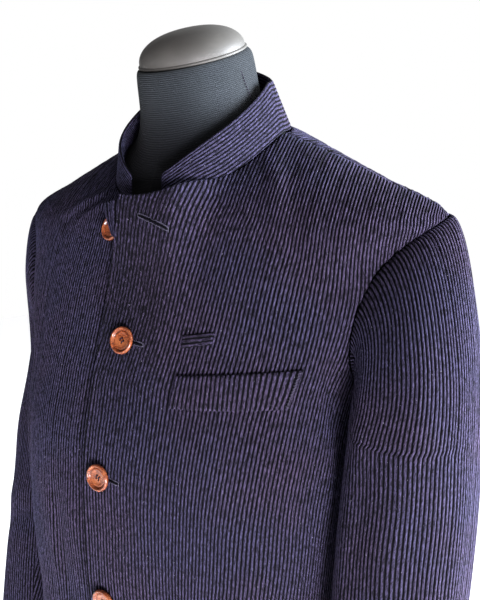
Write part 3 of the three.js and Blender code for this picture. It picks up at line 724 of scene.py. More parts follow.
def sleeve_lines(arm, rows, from_turn, to_turn):
    """The wale coordinate is the distance round the sleeve from its outermost line."""
    lines = []
    whole = np.linspace(-2 * math.pi, math.pi, SLEEVE_SAMPLES)
    for row in rows:
        run = arc_lengths(sleeve_point(arm, max(row, 1.0), whole))
        run = run - np.interp(0.0, whole, run)
        turns = np.linspace(from_turn, to_turn, WALE_SAMPLES)
        passed = plumb_turns(row, turns) if row < 1 else turns
        lines.append((row, turns, np.interp(passed, whole, run)))
    return lines


LEFT_SLEEVE_FOLDS = [
    ((196, -64, 1235), (190, -62, 1120), 8, -2.2),
    ((215, -70, 1240), (212, -70, 1110), 10, 1.8),
    ((236, -60, 1250), (233, -62, 1140), 9, -1.6),
    ((255, -30, 1260), (252, -40, 1100), 12, 1.4),
    ((200, -72, 1110), (240, -58, 1080), 13, 1.4),
    ((196, -72, 1082), (238, -60, 1050), 12, -1.4),
    ((200, -74, 1050), (240, -62, 1025), 13, 1.2),
    ((236, 40, 1110), (200, 50, 1070), 14, 2.4),
    ((240, 40, 1075), (200, 48, 1045), 12, -2.2),
    ((250, -40, 960), (240, -60, 860), 14, 1.6),
    ((205, -88, 960), (200, -96, 880), 12, -1.6),
]
RIGHT_SLEEVE_FOLDS = [
    ((244, -8, 1225), (250, 0, 1110), 10, 1.8),
    ((226, -12, 1230), (228, -18, 1120), 8, -1.8),
    ((212, -24, 1110), (256, -4, 1080), 12, 2.2),
    ((212, -28, 1080), (256, -8, 1045), 11, -2.2),
    ((236, 86, 1110), (210, 92, 1070), 14, 2.2),
    ((240, 84, 1075), (210, 90, 1045), 12, -2.0),
    ((262, 0, 960), (262, -20, 860), 14, 1.6),
]


SLEEVE_LENGTH_TURN = 0.3
HEAD_NORMAL_ROW = 0.01
CUFF_NORMAL_ROW = CUFF_ROW - 0.002


def make_sleeves(corduroy):
    rows = sleeve_rows()
    front_from_below = FRONT_SEAM - 2 * math.pi
    spans = {
        "top": (BACK_SEAM + SEAM_TURN, FRONT_SEAM - SEAM_TURN, (0.26, 0.66), 0.14),
        "under": (front_from_below + SEAM_TURN, BACK_SEAM - SEAM_TURN, (0.15, 0.57), 0.063),
    }
    for side, arm, folds, seed in (("left", LEFT_SLEEVE, LEFT_SLEEVE_FOLDS, 11.0),
                                   ("right", RIGHT_SLEEVE, RIGHT_SLEEVE_FOLDS, 13.0)):
        def point(row, turn):
            return sleeve_point(arm, row, turn)

        def normal_at(row, turn):
            return normal_of(point, np.clip(row, HEAD_NORMAL_ROW, CUFF_NORMAL_ROW), turn)

        lengths = arc_lengths(point(rows, SLEEVE_LENGTH_TURN))
        for part, (start, stop, flat, area) in spans.items():
            lines = sleeve_lines(arm, rows, start, stop)
            piece = cloth_shell(f"cloth_{part}_sleeve_{side}", lines, lengths, point, normal_at, folds,
                                seed + (part == "under"), mirror=side == "right")
            finish_cloth(piece, corduroy, f"{part}_sleeve_{side}")


# The band collar: see collar_point.
COLLAR_END = 16.0
COLLAR_CORNER = 4.0
COLLAR_RISE = 34.0
COLLAR_RISE_POWER = 1.3
COLLAR_LEAN_LEFT = 0.4
COLLAR_LEAN_RIGHT = 0.54
COLLAR_LEAN_BACK = 0.52
COLLAR_LEAN_FRONT = -0.02
COLLAR_STEPS = 190
COLLAR_WALE = 3.4
COLLAR_END_STATIONS = np.array([0, 0.5, 1.2, 2.2, 3.4, 5.0])
COLLAR_MIDDLE_FROM = 7
COLLAR_WALE_AT_END = 0.74  # the wales lie closer together towards the two ends
COLLAR_WALE_FULL = 60
COLLAR_WANDER = 0.075
COLLAR_RELIEF = 1.15
COLLAR_SEAT = 0.72
COLLAR_ROLLS = ((1.2, 1.3), (0.8, 1.4))  # how far the top and the lower edge are rolled in, and over what
COLLAR_END_SQUEEZE = 0.75
COLLAR_SQUEEZE_OVER = 1.1
INNER_COUNT_STEP = 40


def collar_point(angle, height):
    """A point of the collar's outer face at a height above the neck seam."""
    sin, cos = np.sin(angle), np.cos(angle)
    side = lerp(COLLAR_LEAN_RIGHT, COLLAR_LEAN_LEFT, (1 + sin) / 2)
    lean = lerp(side, np.where(cos > 0, COLLAR_LEAN_FRONT, COLLAR_LEAN_BACK), np.abs(cos))
    inward = np.stack([-sin, cos, 0 * cos], -1)
    return (body_point(NECK, angle)
            + inward * (lean * height)[..., None] + np.array([0, 0, 1.0]) * np.asarray(height)[..., None])


def make_collar(corduroy):
    """Both faces carry wales along the band, joined by a rolled top edge."""
    start = float(angle_at_x(NECK, COLLAR_END))
    fine = np.linspace(start, 2 * math.pi - start, 1400)
    run = arc_lengths(body_point(NECK, fine))
    between = np.linspace(COLLAR_MIDDLE_FROM, run[-1] - COLLAR_MIDDLE_FROM, COLLAR_STEPS)
    stations = np.concatenate([COLLAR_END_STATIONS, between, run[-1] - COLLAR_END_STATIONS[::-1]])
    angles = np.interp(stations, run, fine)
    from_end = np.minimum(stations, run[-1] - stations)
    corner = np.maximum(0, COLLAR_CORNER - from_end)
    cut = COLLAR_CORNER - np.sqrt(np.maximum(0, COLLAR_CORNER ** 2 - corner ** 2))
    grown = 1 - np.exp(-((from_end / COLLAR_RISE) ** COLLAR_RISE_POWER))
    heights = lerp(COLLAR_HEIGHT_END, COLLAR_HEIGHT_FULL, grown) - cut
    # The loop round the band's section: up the outer face, over the top and down the inner one.
    wales = COLLAR_HEIGHT_FULL / COLLAR_WALE
    face = np.sort(np.concatenate([[k + s for s in WALE_COLUMNS] for k in range(int(wales) + 1)]))
    face = face[face < wales - 0.05]
    points, data = [], []
    for angle, height, station, end in zip(angles, heights, stations, from_end):
        inward = np.array([-math.sin(angle), math.cos(angle), 0.0])
        # Wales are counted down from the top edge.
        pitch = COLLAR_WALE * lerp(COLLAR_WALE_AT_END, 1.0, smooth(0, COLLAR_WALE_FULL, end))
        down = np.minimum(face * pitch, height)
        count = down / pitch + COLLAR_WANDER * soft_noise(down / 30, station / 26, 2.0)
        ridge = wale_profile(count)
        squeeze = 1 - COLLAR_END_SQUEEZE * math.exp(-(end / COLLAR_SQUEEZE_OVER) ** 2)
        roll = 0
        for (amount, over), distance in zip(COLLAR_ROLLS, (down, height - down)):
            roll = roll + amount * np.exp(-(distance / over) ** 2)
        relief = COLLAR_RELIEF * (ridge - COLLAR_SEAT) - roll
        high = 2 * SEAM_GAP + height - down
        middle = collar_point(np.full(face.shape, angle), high) + inward * (COLLAR_CLOTH / 2)
        out = inward * ((COLLAR_CLOTH / 2 + relief) * squeeze)[:, None]
        points += [middle - out, (middle + out)[::-1]]
        data.append(np.stack([np.concatenate([count, count[::-1] + INNER_COUNT_STEP]),
                              np.full(2 * len(face), station), np.concatenate([ridge, ridge[::-1]])], -1))
    n = 2 * len(face)
    sides = ring_quads(len(stations), n)[:, [0, 3, 2, 1]]
    caps = []
    for first in (0, (len(stations) - 1) * n):
        for j in range(len(face) - 1):
            quad = [first + j, first + j + 1, first + n - 2 - j, first + n - 1 - j]
            caps.append(quad[::-1] if first else quad)
    piece = make_mesh("cloth_collar", np.concatenate(points), [np.concatenate([sides, caps])],
                      {"cloth": np.concatenate(data)})
    finish_cloth(piece, corduroy, "collar")


POCKET_CORNERS = ((55, 1277), (138, 1282.5), (57, 1301.5), (145.5, 1312))
BAR_CORNERS = ((57.5, 1322), (81.6, 1327), (56.3, 1332), (81.8, 1336.7))
FACING_CORNERS = ((-20, 1402), (-15, 1401), (-42, 1427), (-12, 1432))
FACING_THICKNESS = 2.0
FACING_ROLLED_LIFT = 6.4
PATCH_ROOM = SEAM_GAP + 0.4
WELT_THICKNESS = 2.4
BAR_THICKNESS = 1.2


def facing_lift(points):
    behind = front_lift(points) - CLOTH - FACING_THICKNESS - 2 * SEAM_GAP
    share = smooth(FACING_CORNERS[2][0], FACING_CORNERS[1][0], points[..., 0])
    return lerp(FACING_ROLLED_LIFT, behind, share)


EDGE_ROUNDING, EDGE_ROUNDING_OVER = 1.0, 0.9
PATCH_SEAT = 0.8
PIPING_INSET, PIPING_OVER = 1.3, 0.8


def make_patch(name, node, corners, wales, steps, thick, lift, material, across, depth, piping=0.0,
               shear=0.0, worn=0.0):
    """A patch on a front, wound as a closed box. Its wales run up and down, or across it."""
    (blx, blz), (brx, brz), (tlx, tlz), (trx, trz) = corners
    fine = np.array([k + s for k in range(wales) for s in WALE_COLUMNS] + [wales]) / wales
    plain = np.linspace(0, 1, steps)
    us, vs = (plain, fine) if across else (fine, plain)
    outer, inner, extra = [], [], []
    width, height = math.hypot(brx - blx, brz - blz), math.hypot(tlx - blx, tlz - blz)
    for v in vs:
        bent = us - shear * (v - 0.5) * np.sin(math.pi * us)
        x = lerp(lerp(blx, brx, bent), lerp(tlx, trx, bent), v)
        z = lerp(lerp(blz, brz, bent), lerp(tlz, trz, bent), v)
        base, normal = front_at(x, z)
        count = (np.full(us.shape, v) if across else us) * wales
        ridge = wale_profile(count)
        along = (us * width) if across else np.full(us.shape, v * height)
        edge = np.minimum(np.minimum(us, 1 - us) * width, min(v, 1 - v) * height)
        top = lift(base) + thick + depth * (ridge - PATCH_SEAT)
        top = top - EDGE_ROUNDING * np.exp(-(edge / EDGE_ROUNDING_OVER) ** 2)
        top = top + piping * np.exp(-((edge - PIPING_INSET) / PIPING_OVER) ** 2)
        outer.append(base + normal * top[:, None])
        inner.append(base + normal * lift(base)[:, None])
        extra.append(np.stack([count + INNER_COUNT_STEP, along, lerp(ridge, WORN_RIDGE, worn)], -1))
    last = [len(us) - 1] * len(vs)
    piece = shell_object(name, outer, inner, extra, [0] * len(vs), last, False)
    finish_cloth(piece, material, node)


def make_patches(corduroy):
    def on_top(points):
        return front_lift(points) + PATCH_ROOM

    make_patch("cloth_pocket_welt", "breast_pocket_welt", POCKET_CORNERS, 26, 24, WELT_THICKNESS,
               on_top, corduroy, False, 1.1, shear=0.06)
    make_patch("cloth_chest_bar", "chest_bar", BAR_CORNERS, 3, 40, BAR_THICKNESS,
               on_top, corduroy, True, 0.7, worn=0.5)
    make_patch("cloth_facing_corner", "front_left_facing_corner", FACING_CORNERS, 6, 30,
               FACING_THICKNESS, facing_lift, corduroy, False, 1.7, piping=1.5)


WELT_STITCHES = 12
WELT_STITCH_REACH = 1.3
WELT_STITCH_INSET = 2.0
WELT_STITCH_RISE = 0.45
THREAD_RADIUS = 0.22


def make_welt_stitches(thread):
    """The zigzag that holds down the welt's outer end."""
    (low_x, low_z), (high_x, high_z) = POCKET_CORNERS[1], POCKET_CORNERS[3]
    at = np.linspace(0.05, 0.95, 4 * WELT_STITCHES + 1)
    zigzag = np.abs((np.arange(len(at)) % 4) - 2.0) - 1.0
    x = lerp(low_x, high_x, at) - WELT_STITCH_INSET + WELT_STITCH_REACH * zigzag
    base, normal = front_at(x, lerp(low_z, high_z, at))
    rise = front_lift(base) + PATCH_ROOM + WELT_THICKNESS + WELT_STITCH_RISE
    tube("welt_end_stitches", [base + normal * rise[:, None]], THREAD_RADIUS, thread, sides=5)


def lathe(name, profile, segments, place=None, scale=(1, 1, 1)):
    """A closed turned body round +Z from a profile of [radius, height] in millimetres."""
    turn = np.linspace(0, 2 * math.pi, segments, endpoint=False)
    rings, points = [], []
    for radius, height in profile:
        if radius < 1e-6:
            rings.append([len(points)])
            points.append((0, 0, height))
        else:
            rings.append(list(range(len(points), len(points) + segments)))
            points += [(radius * math.cos(a), radius * math.sin(a), height) for a in turn]
    quads, tris = [], []
    for low, high in zip(rings[:-1], rings[1:]):
        for k in range(segments):
            m = (k + 1) % segments
            if len(low) == 1:
                tris.append((low[0], high[m], high[k]))
            elif len(high) == 1:
                tris.append((low[k], low[m], high[0]))
            else:
                quads.append((low[k], low[m], high[m], high[k]))
    points = np.array(points, float) * np.array(scale)
    if place is not None:
        points = points @ np.array(place[0]).T + np.array(place[1])
    return make_mesh(name, points, [quads, tris], {})


def sharpen(piece, degrees):
    piece.data.set_sharp_from_angle(angle=math.radians(degrees))


BUTTONS = (
    (-30.0, 1410.0, True),
    (4.5, 1322.0, False),
    (-2.0, 1214.0, False),
    (-2.0, 1104.0, False),
    (-2.0, 994.0, False),
)
BUTTON_ROOM = 0.5
BUTTON_HOLE_RADIUS = 1.0
BUTTON_HOLE_OFFSET = 1.9
BUTTON_FIRST_TURN = 0.35
BUTTON_TURN_STEP = 0.4
BUTTON_FLOOR = 0.48  # the height of its sunk middle, as a share of its thickness
THREAD_RISE = 0.5
THREAD_REACH = 1.12


def frame_from(normal, turn):
    """A rotation whose third column is the normal and whose first is turned round it."""
    side = unit(np.cross(np.array([0, 0, 1.0]), normal))
    up = np.cross(normal, side)
    first = side * math.cos(turn) + up * math.sin(turn)
    return np.stack([first, np.cross(normal, first), normal], -1)


def make_buttons(horn, thread):
    r, t = BUTTON_RADIUS, BUTTON_THICKNESS
    profile = [
        (0, 0), (r - 2.4, 0), (r - 1.2, 0.3), (r - 0.25, 0.35 * t), (r, 0.52 * t), (r - 0.12, 0.7 * t),
        (r - 0.45, 0.88 * t), (r - 0.9, 0.97 * t), (r - 1.4, t), (r - 1.9, 0.97 * t), (r - 2.3, 0.86 * t),
        (r - 2.6, 0.66 * t), (r - 2.9, 0.5 * t), (r - 3.2, 0.47 * t), (r - 3.5, 0.52 * t),
        (r - 3.9, 0.64 * t), (r - 4.4, 0.66 * t), (r - 5.2, 0.6 * t), (r - 6.4, 0.52 * t),
        (r - 8.0, 0.49 * t), (0, BUTTON_FLOOR * t),
    ]
    for k, (x, z, on_right) in enumerate(BUTTONS):
        base, normal = front_at(x, z)
        lift = 0.0 if on_right else float(front_lift(base))
        turn = frame_from(normal, BUTTON_FIRST_TURN + BUTTON_TURN_STEP * k)
        origin = base + normal * (lift + BUTTON_ROOM)
        disc = lathe(f"horn_button_{k + 1}", profile, 72, (turn, origin))
        for n in range(4):
            a = n * math.pi / 2 + math.pi / 4
            offset = np.array([BUTTON_HOLE_OFFSET * math.cos(a), BUTTON_HOLE_OFFSET * math.sin(a), -1.0])
            hole = lathe("hole", [(0, 0), (BUTTON_HOLE_RADIUS, 0), (BUTTON_HOLE_RADIUS, 8), (0, 8)], 18,
                         (turn, origin + turn @ offset))
            cut = disc.modifiers.new("cut", "BOOLEAN")
            cut.operation = "DIFFERENCE"
            cut.object = hole
            cut.solver = "EXACT"
            apply_modifiers(disc)
            bpy.data.objects.remove(hole)
        disc.data.materials.clear()
        disc.data.shade_smooth()
        sharpen(disc, 48)
        dress(disc, horn, f"button_{k + 1}")
        make_button_thread(k, turn, origin, thread)


def make_button_thread(k, turn, origin, thread):
    """Two doubled stitches between the button's holes."""
    t = BUTTON_THICKNESS
    s = BUTTON_HOLE_OFFSET * math.cos(math.pi / 4)
    u = np.linspace(-1, 1, 13)
    high = np.where(np.abs(u) < 0.99, BUTTON_FLOOR * t + THREAD_RISE * (1 - u ** 4), 0.2 * t)
    paths = [np.stack([u * s * THREAD_REACH, side * s + shift + 0 * u, high], -1) @ turn.T + origin
             for side in (-1, 1) for shift in (-0.2, 0.2)]
    tube(f"button_thread_{k + 1}", paths, THREAD_RADIUS, thread)


TUBE_GUIDE = np.array([0.31, 0.17, 0.93])  # a direction that no thread runs in


def tube(name, paths, radius, material, sides=7):
    """One mesh of round tubes along paths, with closed ends."""
    points, quads, ngons = [], [], []
    for path in paths:
        path = np.asarray(path, float)
        start = len(points)
        tangent = unit(np.gradient(path, axis=0))
        side = unit(np.cross(tangent, TUBE_GUIDE))
        up = np.cross(tangent, side)
        for p, s, u in zip(path, side, up):
            for a in np.linspace(0, 2 * math.pi, sides, endpoint=False):
                points.append(p + radius * (math.cos(a) * s + math.sin(a) * u))
        quads.append(ring_quads(len(path), sides, start))
        end = start + (len(path) - 1) * sides
        ngons += [list(range(start, start + sides))[::-1], list(range(end, end + sides))]
    piece = make_mesh(name, points, [np.concatenate(quads), ngons], {})
    piece.data.materials.append(material)
    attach(piece, "root")


TOP_BUTTONHOLE_SLOPE = -0.38
BUTTONHOLE_SLOPE = -0.08
BUTTONHOLE_HALF_WIDTH = 1.6
BUTTONHOLE_RISE = 0.55
STITCH_PITCH = 0.8
STITCH_RADIUS = 0.35
SLIT_INSET = 0.6
SLIT_RADIUS = 0.85
END_BAR_OUT = 0.4
END_BAR_HALF = 2.0
WHIPPING_RADIUS = 0.2
END_ROUNDING, SIDE_ROUNDING = 0.5, 0.35
BUTTONHOLE_LENGTH = 23.0
TOP_BUTTONHOLE = (8.0, 1419.0, 26.5)
BEHIND_BUTTON, ABOVE_BUTTON = 3.0, 0.6


def make_buttonhole(number, x, z, length, slope, thread, slit):
    """A worked buttonhole on the left front: a slit, drawn as a near-black tube of painted shade, between
    two rows of whipped stitches.
    """
    def on_cloth(along, across, rise):
        base, normal = front_at(x + along, z + slope * along + across)
        return base + normal * (front_lift(base) + rise)[..., None]

    def rounded(wave, power):
        return np.sign(wave) * np.abs(wave) ** power

    # Painted shade: the slit is a near-black tube laid on the cloth where the cut lies in shadow.
    slit_path = on_cloth(np.linspace(SLIT_INSET, length - SLIT_INSET, 24), 0, BUTTONHOLE_RISE)
    tube(f"buttonhole_slit_shade_{number}", [slit_path], SLIT_RADIUS, slit)
    turns = int(2 * length / STITCH_PITCH)
    round_u = np.linspace(0, 2 * math.pi, 7 * turns, endpoint=False)
    middle = length / 2
    reach_along = middle * rounded(np.cos(round_u), END_ROUNDING)
    reach_across = BUTTONHOLE_HALF_WIDTH * rounded(np.sin(round_u), SIDE_ROUNDING)
    phase = round_u * turns
    widen = 1 + STITCH_RADIUS / BUTTONHOLE_HALF_WIDTH * np.cos(phase)
    rise = BUTTONHOLE_RISE + STITCH_RADIUS * np.sin(phase)
    loop = on_cloth(middle + reach_along, reach_across * widen, rise)
    bar = np.linspace(-1, 1, 9)
    bar_path = on_cloth(length + END_BAR_OUT, END_BAR_HALF * bar, BUTTONHOLE_RISE + 0.4 * (1 - bar ** 2))
    tube(f"buttonhole_stitches_{number}", [loop, bar_path], WHIPPING_RADIUS, thread, sides=5)


def make_buttonholes(thread, slit):
    make_buttonhole(1, *TOP_BUTTONHOLE, TOP_BUTTONHOLE_SLOPE, thread, slit)
    for k, (x, z, on_right) in enumerate(BUTTONS):
        if not on_right:
            make_buttonhole(k + 1, x - BEHIND_BUTTON, z + ABOVE_BUTTON, BUTTONHOLE_LENGTH,
                            BUTTONHOLE_SLOPE, thread, slit)


NECK_SEAM = ((47.2, -15.2, 1555.3), (51.6, -8.9, 1538.3), (53.8, 1.3, 1521.7), (55.6, 12.0, 1505.0))
NECK_STITCH = 1.4
NECK_STITCH_STEP = 2.6
NECK_STITCH_RADIUS = 0.42
NECK_STITCH_LOW, NECK_STITCH_SWELL = 0.15, 0.25


def make_neck_seam(thread):
    """A row of stitches down the neck's cover."""
    knots = np.array(NECK_SEAM)
    run = arc_lengths(knots)
    curves = [np.polyfit(run, knots[:, axis], 3) for axis in range(3)]
    stitches = []
    for start in np.arange(0.5, run[-1] - NECK_STITCH, NECK_STITCH_STEP):
        at = np.linspace(start, start + NECK_STITCH, 5)
        points = np.stack([np.polyval(curve, at) for curve in curves], -1)
        outward = unit(points * np.array([1.0, 1.0, 0.0]))
        rise = NECK_STITCH_LOW + NECK_STITCH_SWELL * np.sin(np.linspace(0, math.pi, 5))
        stitches.append(points + outward * rise[:, None])
    tube("neck_seam_stitches", stitches, NECK_STITCH_RADIUS, thread, sides=5)


def apply_modifiers(piece):
    graph = bpy.context.evaluated_depsgraph_get()
    mesh = bpy.data.meshes.new_from_object(piece.evaluated_get(graph))
    old = piece.data
    piece.modifiers.clear()
    piece.data = mesh
    bpy.data.meshes.remove(old)


# The dress form.
FORM_BOTTOM = 742.0
FORM_BOTTOM_ROUNDING = ((0, 30), (2, 20), (6, 12), (10, 6), (14, 2))
NECK_RINGS = table(["zFront", "zSide", "zBack", "half", "front", "back"], [
    [1450, 1498, 1516, 66, -64, 64],
    [1472, 1508, 1528, 58, -55, 62],
    [1498, 1524, 1545, 53, -52, 57],
    [1534, 1553.5, 1573, 51, -57, 44],
    [1539, 1558.5, 1578, 47, -53, 33],
])
FORM_COLUMNS = 160
FORM_LOW_ROWS = 40
FORM_HIGH_ROWS = 50
FORM_NECK_ROWS = 60
HEM_EASE = 15
WAIST_ROW = 55


def make_form(knit):
    angles = np.linspace(0, 2 * math.pi, FORM_COLUMNS, endpoint=False)
    rings = []
    for rise, shrink in FORM_BOTTOM_ROUNDING:
        ring = body_offset(0, angles, -(CLOTH + HEM_EASE + shrink))
        ring[:, 2] = FORM_BOTTOM + rise
        rings.append(ring)
    torso = np.linspace(0, UNDERARM, FORM_LOW_ROWS, endpoint=False)
    for level in np.concatenate([torso, np.linspace(UNDERARM, NECK, FORM_HIGH_ROWS)]):
        rings.append(body_offset(level, angles, -CLOTH - float(sample(RINGS, level)["ease"])))
    waist = len(FORM_BOTTOM_ROUNDING) + WAIST_ROW
    neck = sample(NECK_RINGS, np.linspace(0, len(NECK_RINGS["half"]) - 1, FORM_NECK_ROWS))
    cos = np.cos(angles)
    for k in range(FORM_NECK_ROWS):
        ring = {key: column[k] for key, column in neck.items()}
        mid, depth = (ring["front"] + ring["back"]) / 2, (ring["back"] - ring["front"]) / 2
        end = np.where(cos >= 0, ring["zFront"], ring["zBack"])
        z = ring["zSide"] + (end - ring["zSide"]) * np.abs(cos)
        rings.append(np.stack([ring["half"] * np.sin(angles), mid - depth * cos, z], -1))
    grid = np.array(rings)
    n, m = grid.shape[:2]
    points = np.concatenate([grid.reshape(-1, 3), [grid[0].mean(0), grid[-1].mean(0)]])
    lengths = np.cumsum(np.concatenate([[0], np.linalg.norm(np.diff(grid, axis=0), axis=2).mean(1)]))
    around = arc_lengths(np.concatenate([grid[waist], grid[waist][:1]]))[:-1]
    data = np.stack([np.tile(around, n), np.repeat(lengths, m), np.zeros(n * m)], -1)
    data = np.concatenate([data, [[0, 0, 0], [0, lengths[-1], 0]]])
    k = np.arange(m)
    last = (n - 1) * m
    tris = np.concatenate([np.stack([np.full(m, n * m), (k + 1) % m, k], -1),
                           np.stack([np.full(m, n * m + 1), last + k, last + (k + 1) % m], -1)])
    piece = make_mesh("form_body_knit", points, [ring_quads(n, m), tris], {"cloth": data})
    dress(piece, knit, "form_body")


CAP_MARGIN = 1.5
CAP_RIM = 1.5
CAP_RIM_HEIGHT = 2.0
CAP_HEIGHT = 24.0
CAP_FLATNESS = 0.8


def make_cap(metal):
    top = {key: column[-1] for key, column in NECK_RINGS.items()}
    tilt = math.atan2(top["zBack"] - top["zFront"], top["back"] - top["front"])
    radius = top["half"] + CAP_MARGIN
    profile = [(0, 0), (radius + CAP_RIM - 0.6, 0), (radius + CAP_RIM - 0.15, 0.25),
               (radius + CAP_RIM, 0.8), (radius + CAP_RIM, CAP_RIM_HEIGHT - 0.5),
               (radius + CAP_RIM - 0.3, CAP_RIM_HEIGHT), (radius + 0.35, CAP_RIM_HEIGHT + 0.3)]
    steps = 26
    for k in range(steps):
        t = k / steps * math.pi / 2
        profile.append((radius * math.cos(t) ** CAP_FLATNESS,
                        lerp(CAP_RIM_HEIGHT + 0.5, CAP_HEIGHT, math.sin(t))))
    profile.append((0, CAP_HEIGHT))
    turn = np.array([[1, 0, 0], [0, math.cos(tilt), -math.sin(tilt)], [0, math.sin(tilt), math.cos(tilt)]])
    normal = np.array([0, -math.sin(tilt), math.cos(tilt)])
    origin = np.array([0, (top["front"] + top["back"]) / 2, (top["zFront"] + top["zBack"]) / 2])
    scale = (1, (top["back"] - top["front"]) / (2 * top["half"]), 1)
    piece = lathe("cap_dome", profile, 112, (turn, origin + normal * SEAM_GAP), scale)
    sharpen(piece, 50)
    dress(piece, metal, "neck_cap")


BASE_RADIUS = 175.0
BASE_HEIGHT = 8.0
POLE_RADIUS = 14.0
SOCKET_RADIUS = 22.0
SOCKET_HEIGHT = 60.0
PLATE_RADIUS = 40.0
PLATE_THICKNESS = 6.0


def make_stand(steel):
    base = [(0, 0), (BASE_RADIUS - 0.8, 0), (BASE_RADIUS, 0.8), (BASE_RADIUS, 2.4),
            (BASE_RADIUS - 1.5, 3.9), (BASE_RADIUS - 6, 5), (118, 6.6), (60, BASE_HEIGHT),
            (30, BASE_HEIGHT + 1.8), (SOCKET_RADIUS + 2, BASE_HEIGHT + 4),
            (SOCKET_RADIUS + 0.6, BASE_HEIGHT + 9), (SOCKET_RADIUS, BASE_HEIGHT + SOCKET_HEIGHT - 2),
            (SOCKET_RADIUS - 1.6, BASE_HEIGHT + SOCKET_HEIGHT), (0, BASE_HEIGHT + SOCKET_HEIGHT)]
    low = BASE_HEIGHT + SOCKET_HEIGHT + SEAM_GAP
    high = FORM_BOTTOM - SEAM_GAP
    pole = [(0, low), (POLE_RADIUS, low), (POLE_RADIUS, high - 24), (POLE_RADIUS + 1.2, high - 19),
            (PLATE_RADIUS - 1, high - PLATE_THICKNESS - 0.4), (PLATE_RADIUS, high - PLATE_THICKNESS + 1),
            (PLATE_RADIUS, high), (0, high)]
    for name, node, profile in (("steel_base", "stand_base", base), ("steel_pole", "stand_pole", pole)):
        piece = lathe(name, profile, 128)
        sharpen(piece, 32)
        dress(piece, steel, node)


def feed(tree, node, values):
    """Links a node's output into its socket, and sets any other value on the socket itself."""
    for key, value in values.items():
        socket = node.inputs[key]
        if isinstance(value, bpy.types.NodeSocket):
            tree.links.new(value, socket)
        else:
            socket.default_value = (*value, 1) if socket.type == "RGBA" else value


def add(tree, kind, values, **settings):
    """The outputs of a new node."""
    made = tree.nodes.new("ShaderNode" + kind)
    for key, value in settings.items():
        setattr(made, key, value)
    feed(tree, made, values)
    return made.outputs


def mix_colour(tree, share, first, second, blend="MIX"):
    return add(tree, "Mix", {0: share, 6: first, 7: second}, data_type="RGBA", blend_type=blend)[2]


def maths(tree, operation, *values):
    return add(tree, "Math", dict(enumerate(values)), operation=operation)[0]


def ramp(tree, value, low, high):
    return add(tree, "MapRange", {0: value, 1: low, 2: high}, interpolation_type="SMOOTHSTEP")[0]


def noise(tree, vector, scale, detail, roughness):
    values = {"Vector": vector, "Scale": scale, "Detail": detail, "Roughness": roughness}
    return add(tree, "TexNoise", values)["Fac"]


def bump(tree, height, strength, distance):
    return add(tree, "Bump", {"Strength": strength, "Distance": distance, "Height": height})[0]


def object_place(tree):
    return add(tree, "TexCoord", {})["Object"]


def cloth_coordinates(tree, across, along):
    """The mesh's own cloth coordinates, and a vector of them scaled across and along the wales."""
    stored = add(tree, "Attribute", {}, attribute_name="cloth")["Vector"]
    parts = add(tree, "SeparateXYZ", {0: stored})
    scaled = [maths(tree, "MULTIPLY", parts[k], scale) for k, scale in enumerate((across, along))]
    return parts, add(tree, "CombineXYZ", dict(enumerate(scaled)))[0]


def new_material(name, surface, *colours):
    """A material whose surface has the inputs that surface(tree, *colours) gives."""
    material = bpy.data.materials.new(name)
    material.use_nodes = True
    tree = material.node_tree
    feed(tree, tree.nodes["Principled BSDF"], surface(tree, *colours))
    return material


NAVY_RIDGE = (0.027, 0.024, 0.048)
AUBERGINE_RIDGE = (0.032, 0.0235, 0.044)
# The grooves' near-black is mostly painted shade, partly the bare ground's own darker tone.
GROOVE_SHADE = (0.0010, 0.0008, 0.0020)
LINT = (0.20, 0.19, 0.24)
# Painted highlights and shade on the ridges, partly the pile's own uneven tone: see lit.
PILE_DARK_AND_SHADE = (0.22, 0.22, 0.24)
PILE_LIGHT_AND_HIGHLIGHT = (2.4, 2.4, 2.45)


def corduroy_surface(tree):
    parts, quick = cloth_coordinates(tree, across=1.2, along=0.15)
    skew = maths(tree, "MULTIPLY", maths(tree, "FRACT", parts[0]), 0.8)
    tilted = add(tree, "VectorMath", {0: quick, 1: add(tree, "CombineXYZ", {1: skew})[0]})[0]
    nap = noise(tree, tilted, scale=3.2, detail=4.0, roughness=0.75)
    slow = cloth_coordinates(tree, across=0.9, along=0.055)[1]
    tuft = noise(tree, slow, scale=3.2, detail=3.0, roughness=0.65)
    uneven = maths(tree, "MULTIPLY_ADD", nap, 0.5, maths(tree, "MULTIPLY_ADD", tuft, 0.6, -0.55))
    pile_top = ramp(tree, maths(tree, "ADD", parts[2], uneven), 0.62, 0.99)
    patchy = noise(tree, object_place(tree), scale=9.0, detail=3.0, roughness=0.6)
    colour = mix_colour(tree, ramp(tree, patchy, 0.35, 0.65), NAVY_RIDGE, AUBERGINE_RIDGE)
    speckle = maths(tree, "MULTIPLY_ADD", nap, 0.6, maths(tree, "MULTIPLY", tuft, 0.4))
    # Painted highlights: the nap noise lightens and darkens the ridges in broken dashes, partly the pile's
    # own uneven tone.
    lit = mix_colour(tree, ramp(tree, speckle, 0.39, 0.62), PILE_DARK_AND_SHADE, PILE_LIGHT_AND_HIGHLIGHT)
    # Painted shade: the grooves between the ridge tops are mixed towards near-black.
    shaded = mix_colour(tree, pile_top, GROOVE_SHADE, mix_colour(tree, 1.0, colour, lit, "MULTIPLY"))
    specks = noise(tree, object_place(tree), scale=700.0, detail=1.0, roughness=0.5)
    return {
        "Base Color": mix_colour(tree, ramp(tree, specks, 0.77, 0.80), shaded, LINT),
        "Roughness": 0.9,
        "Specular IOR Level": 0.12,
        "Sheen Weight": maths(tree, "MULTIPLY", pile_top, maths(tree, "MULTIPLY", nap, 0.30)),
        "Sheen Roughness": 0.3,
        "Sheen Tint": (0.42, 0.45, 0.85),
        "Normal": bump(tree, nap, strength=0.8, distance=0.0008),
    }


RIB_PITCH = 1.5
KNIT_GROOVE, KNIT_RIB = (0.024, 0.028, 0.034), (0.056, 0.065, 0.074)
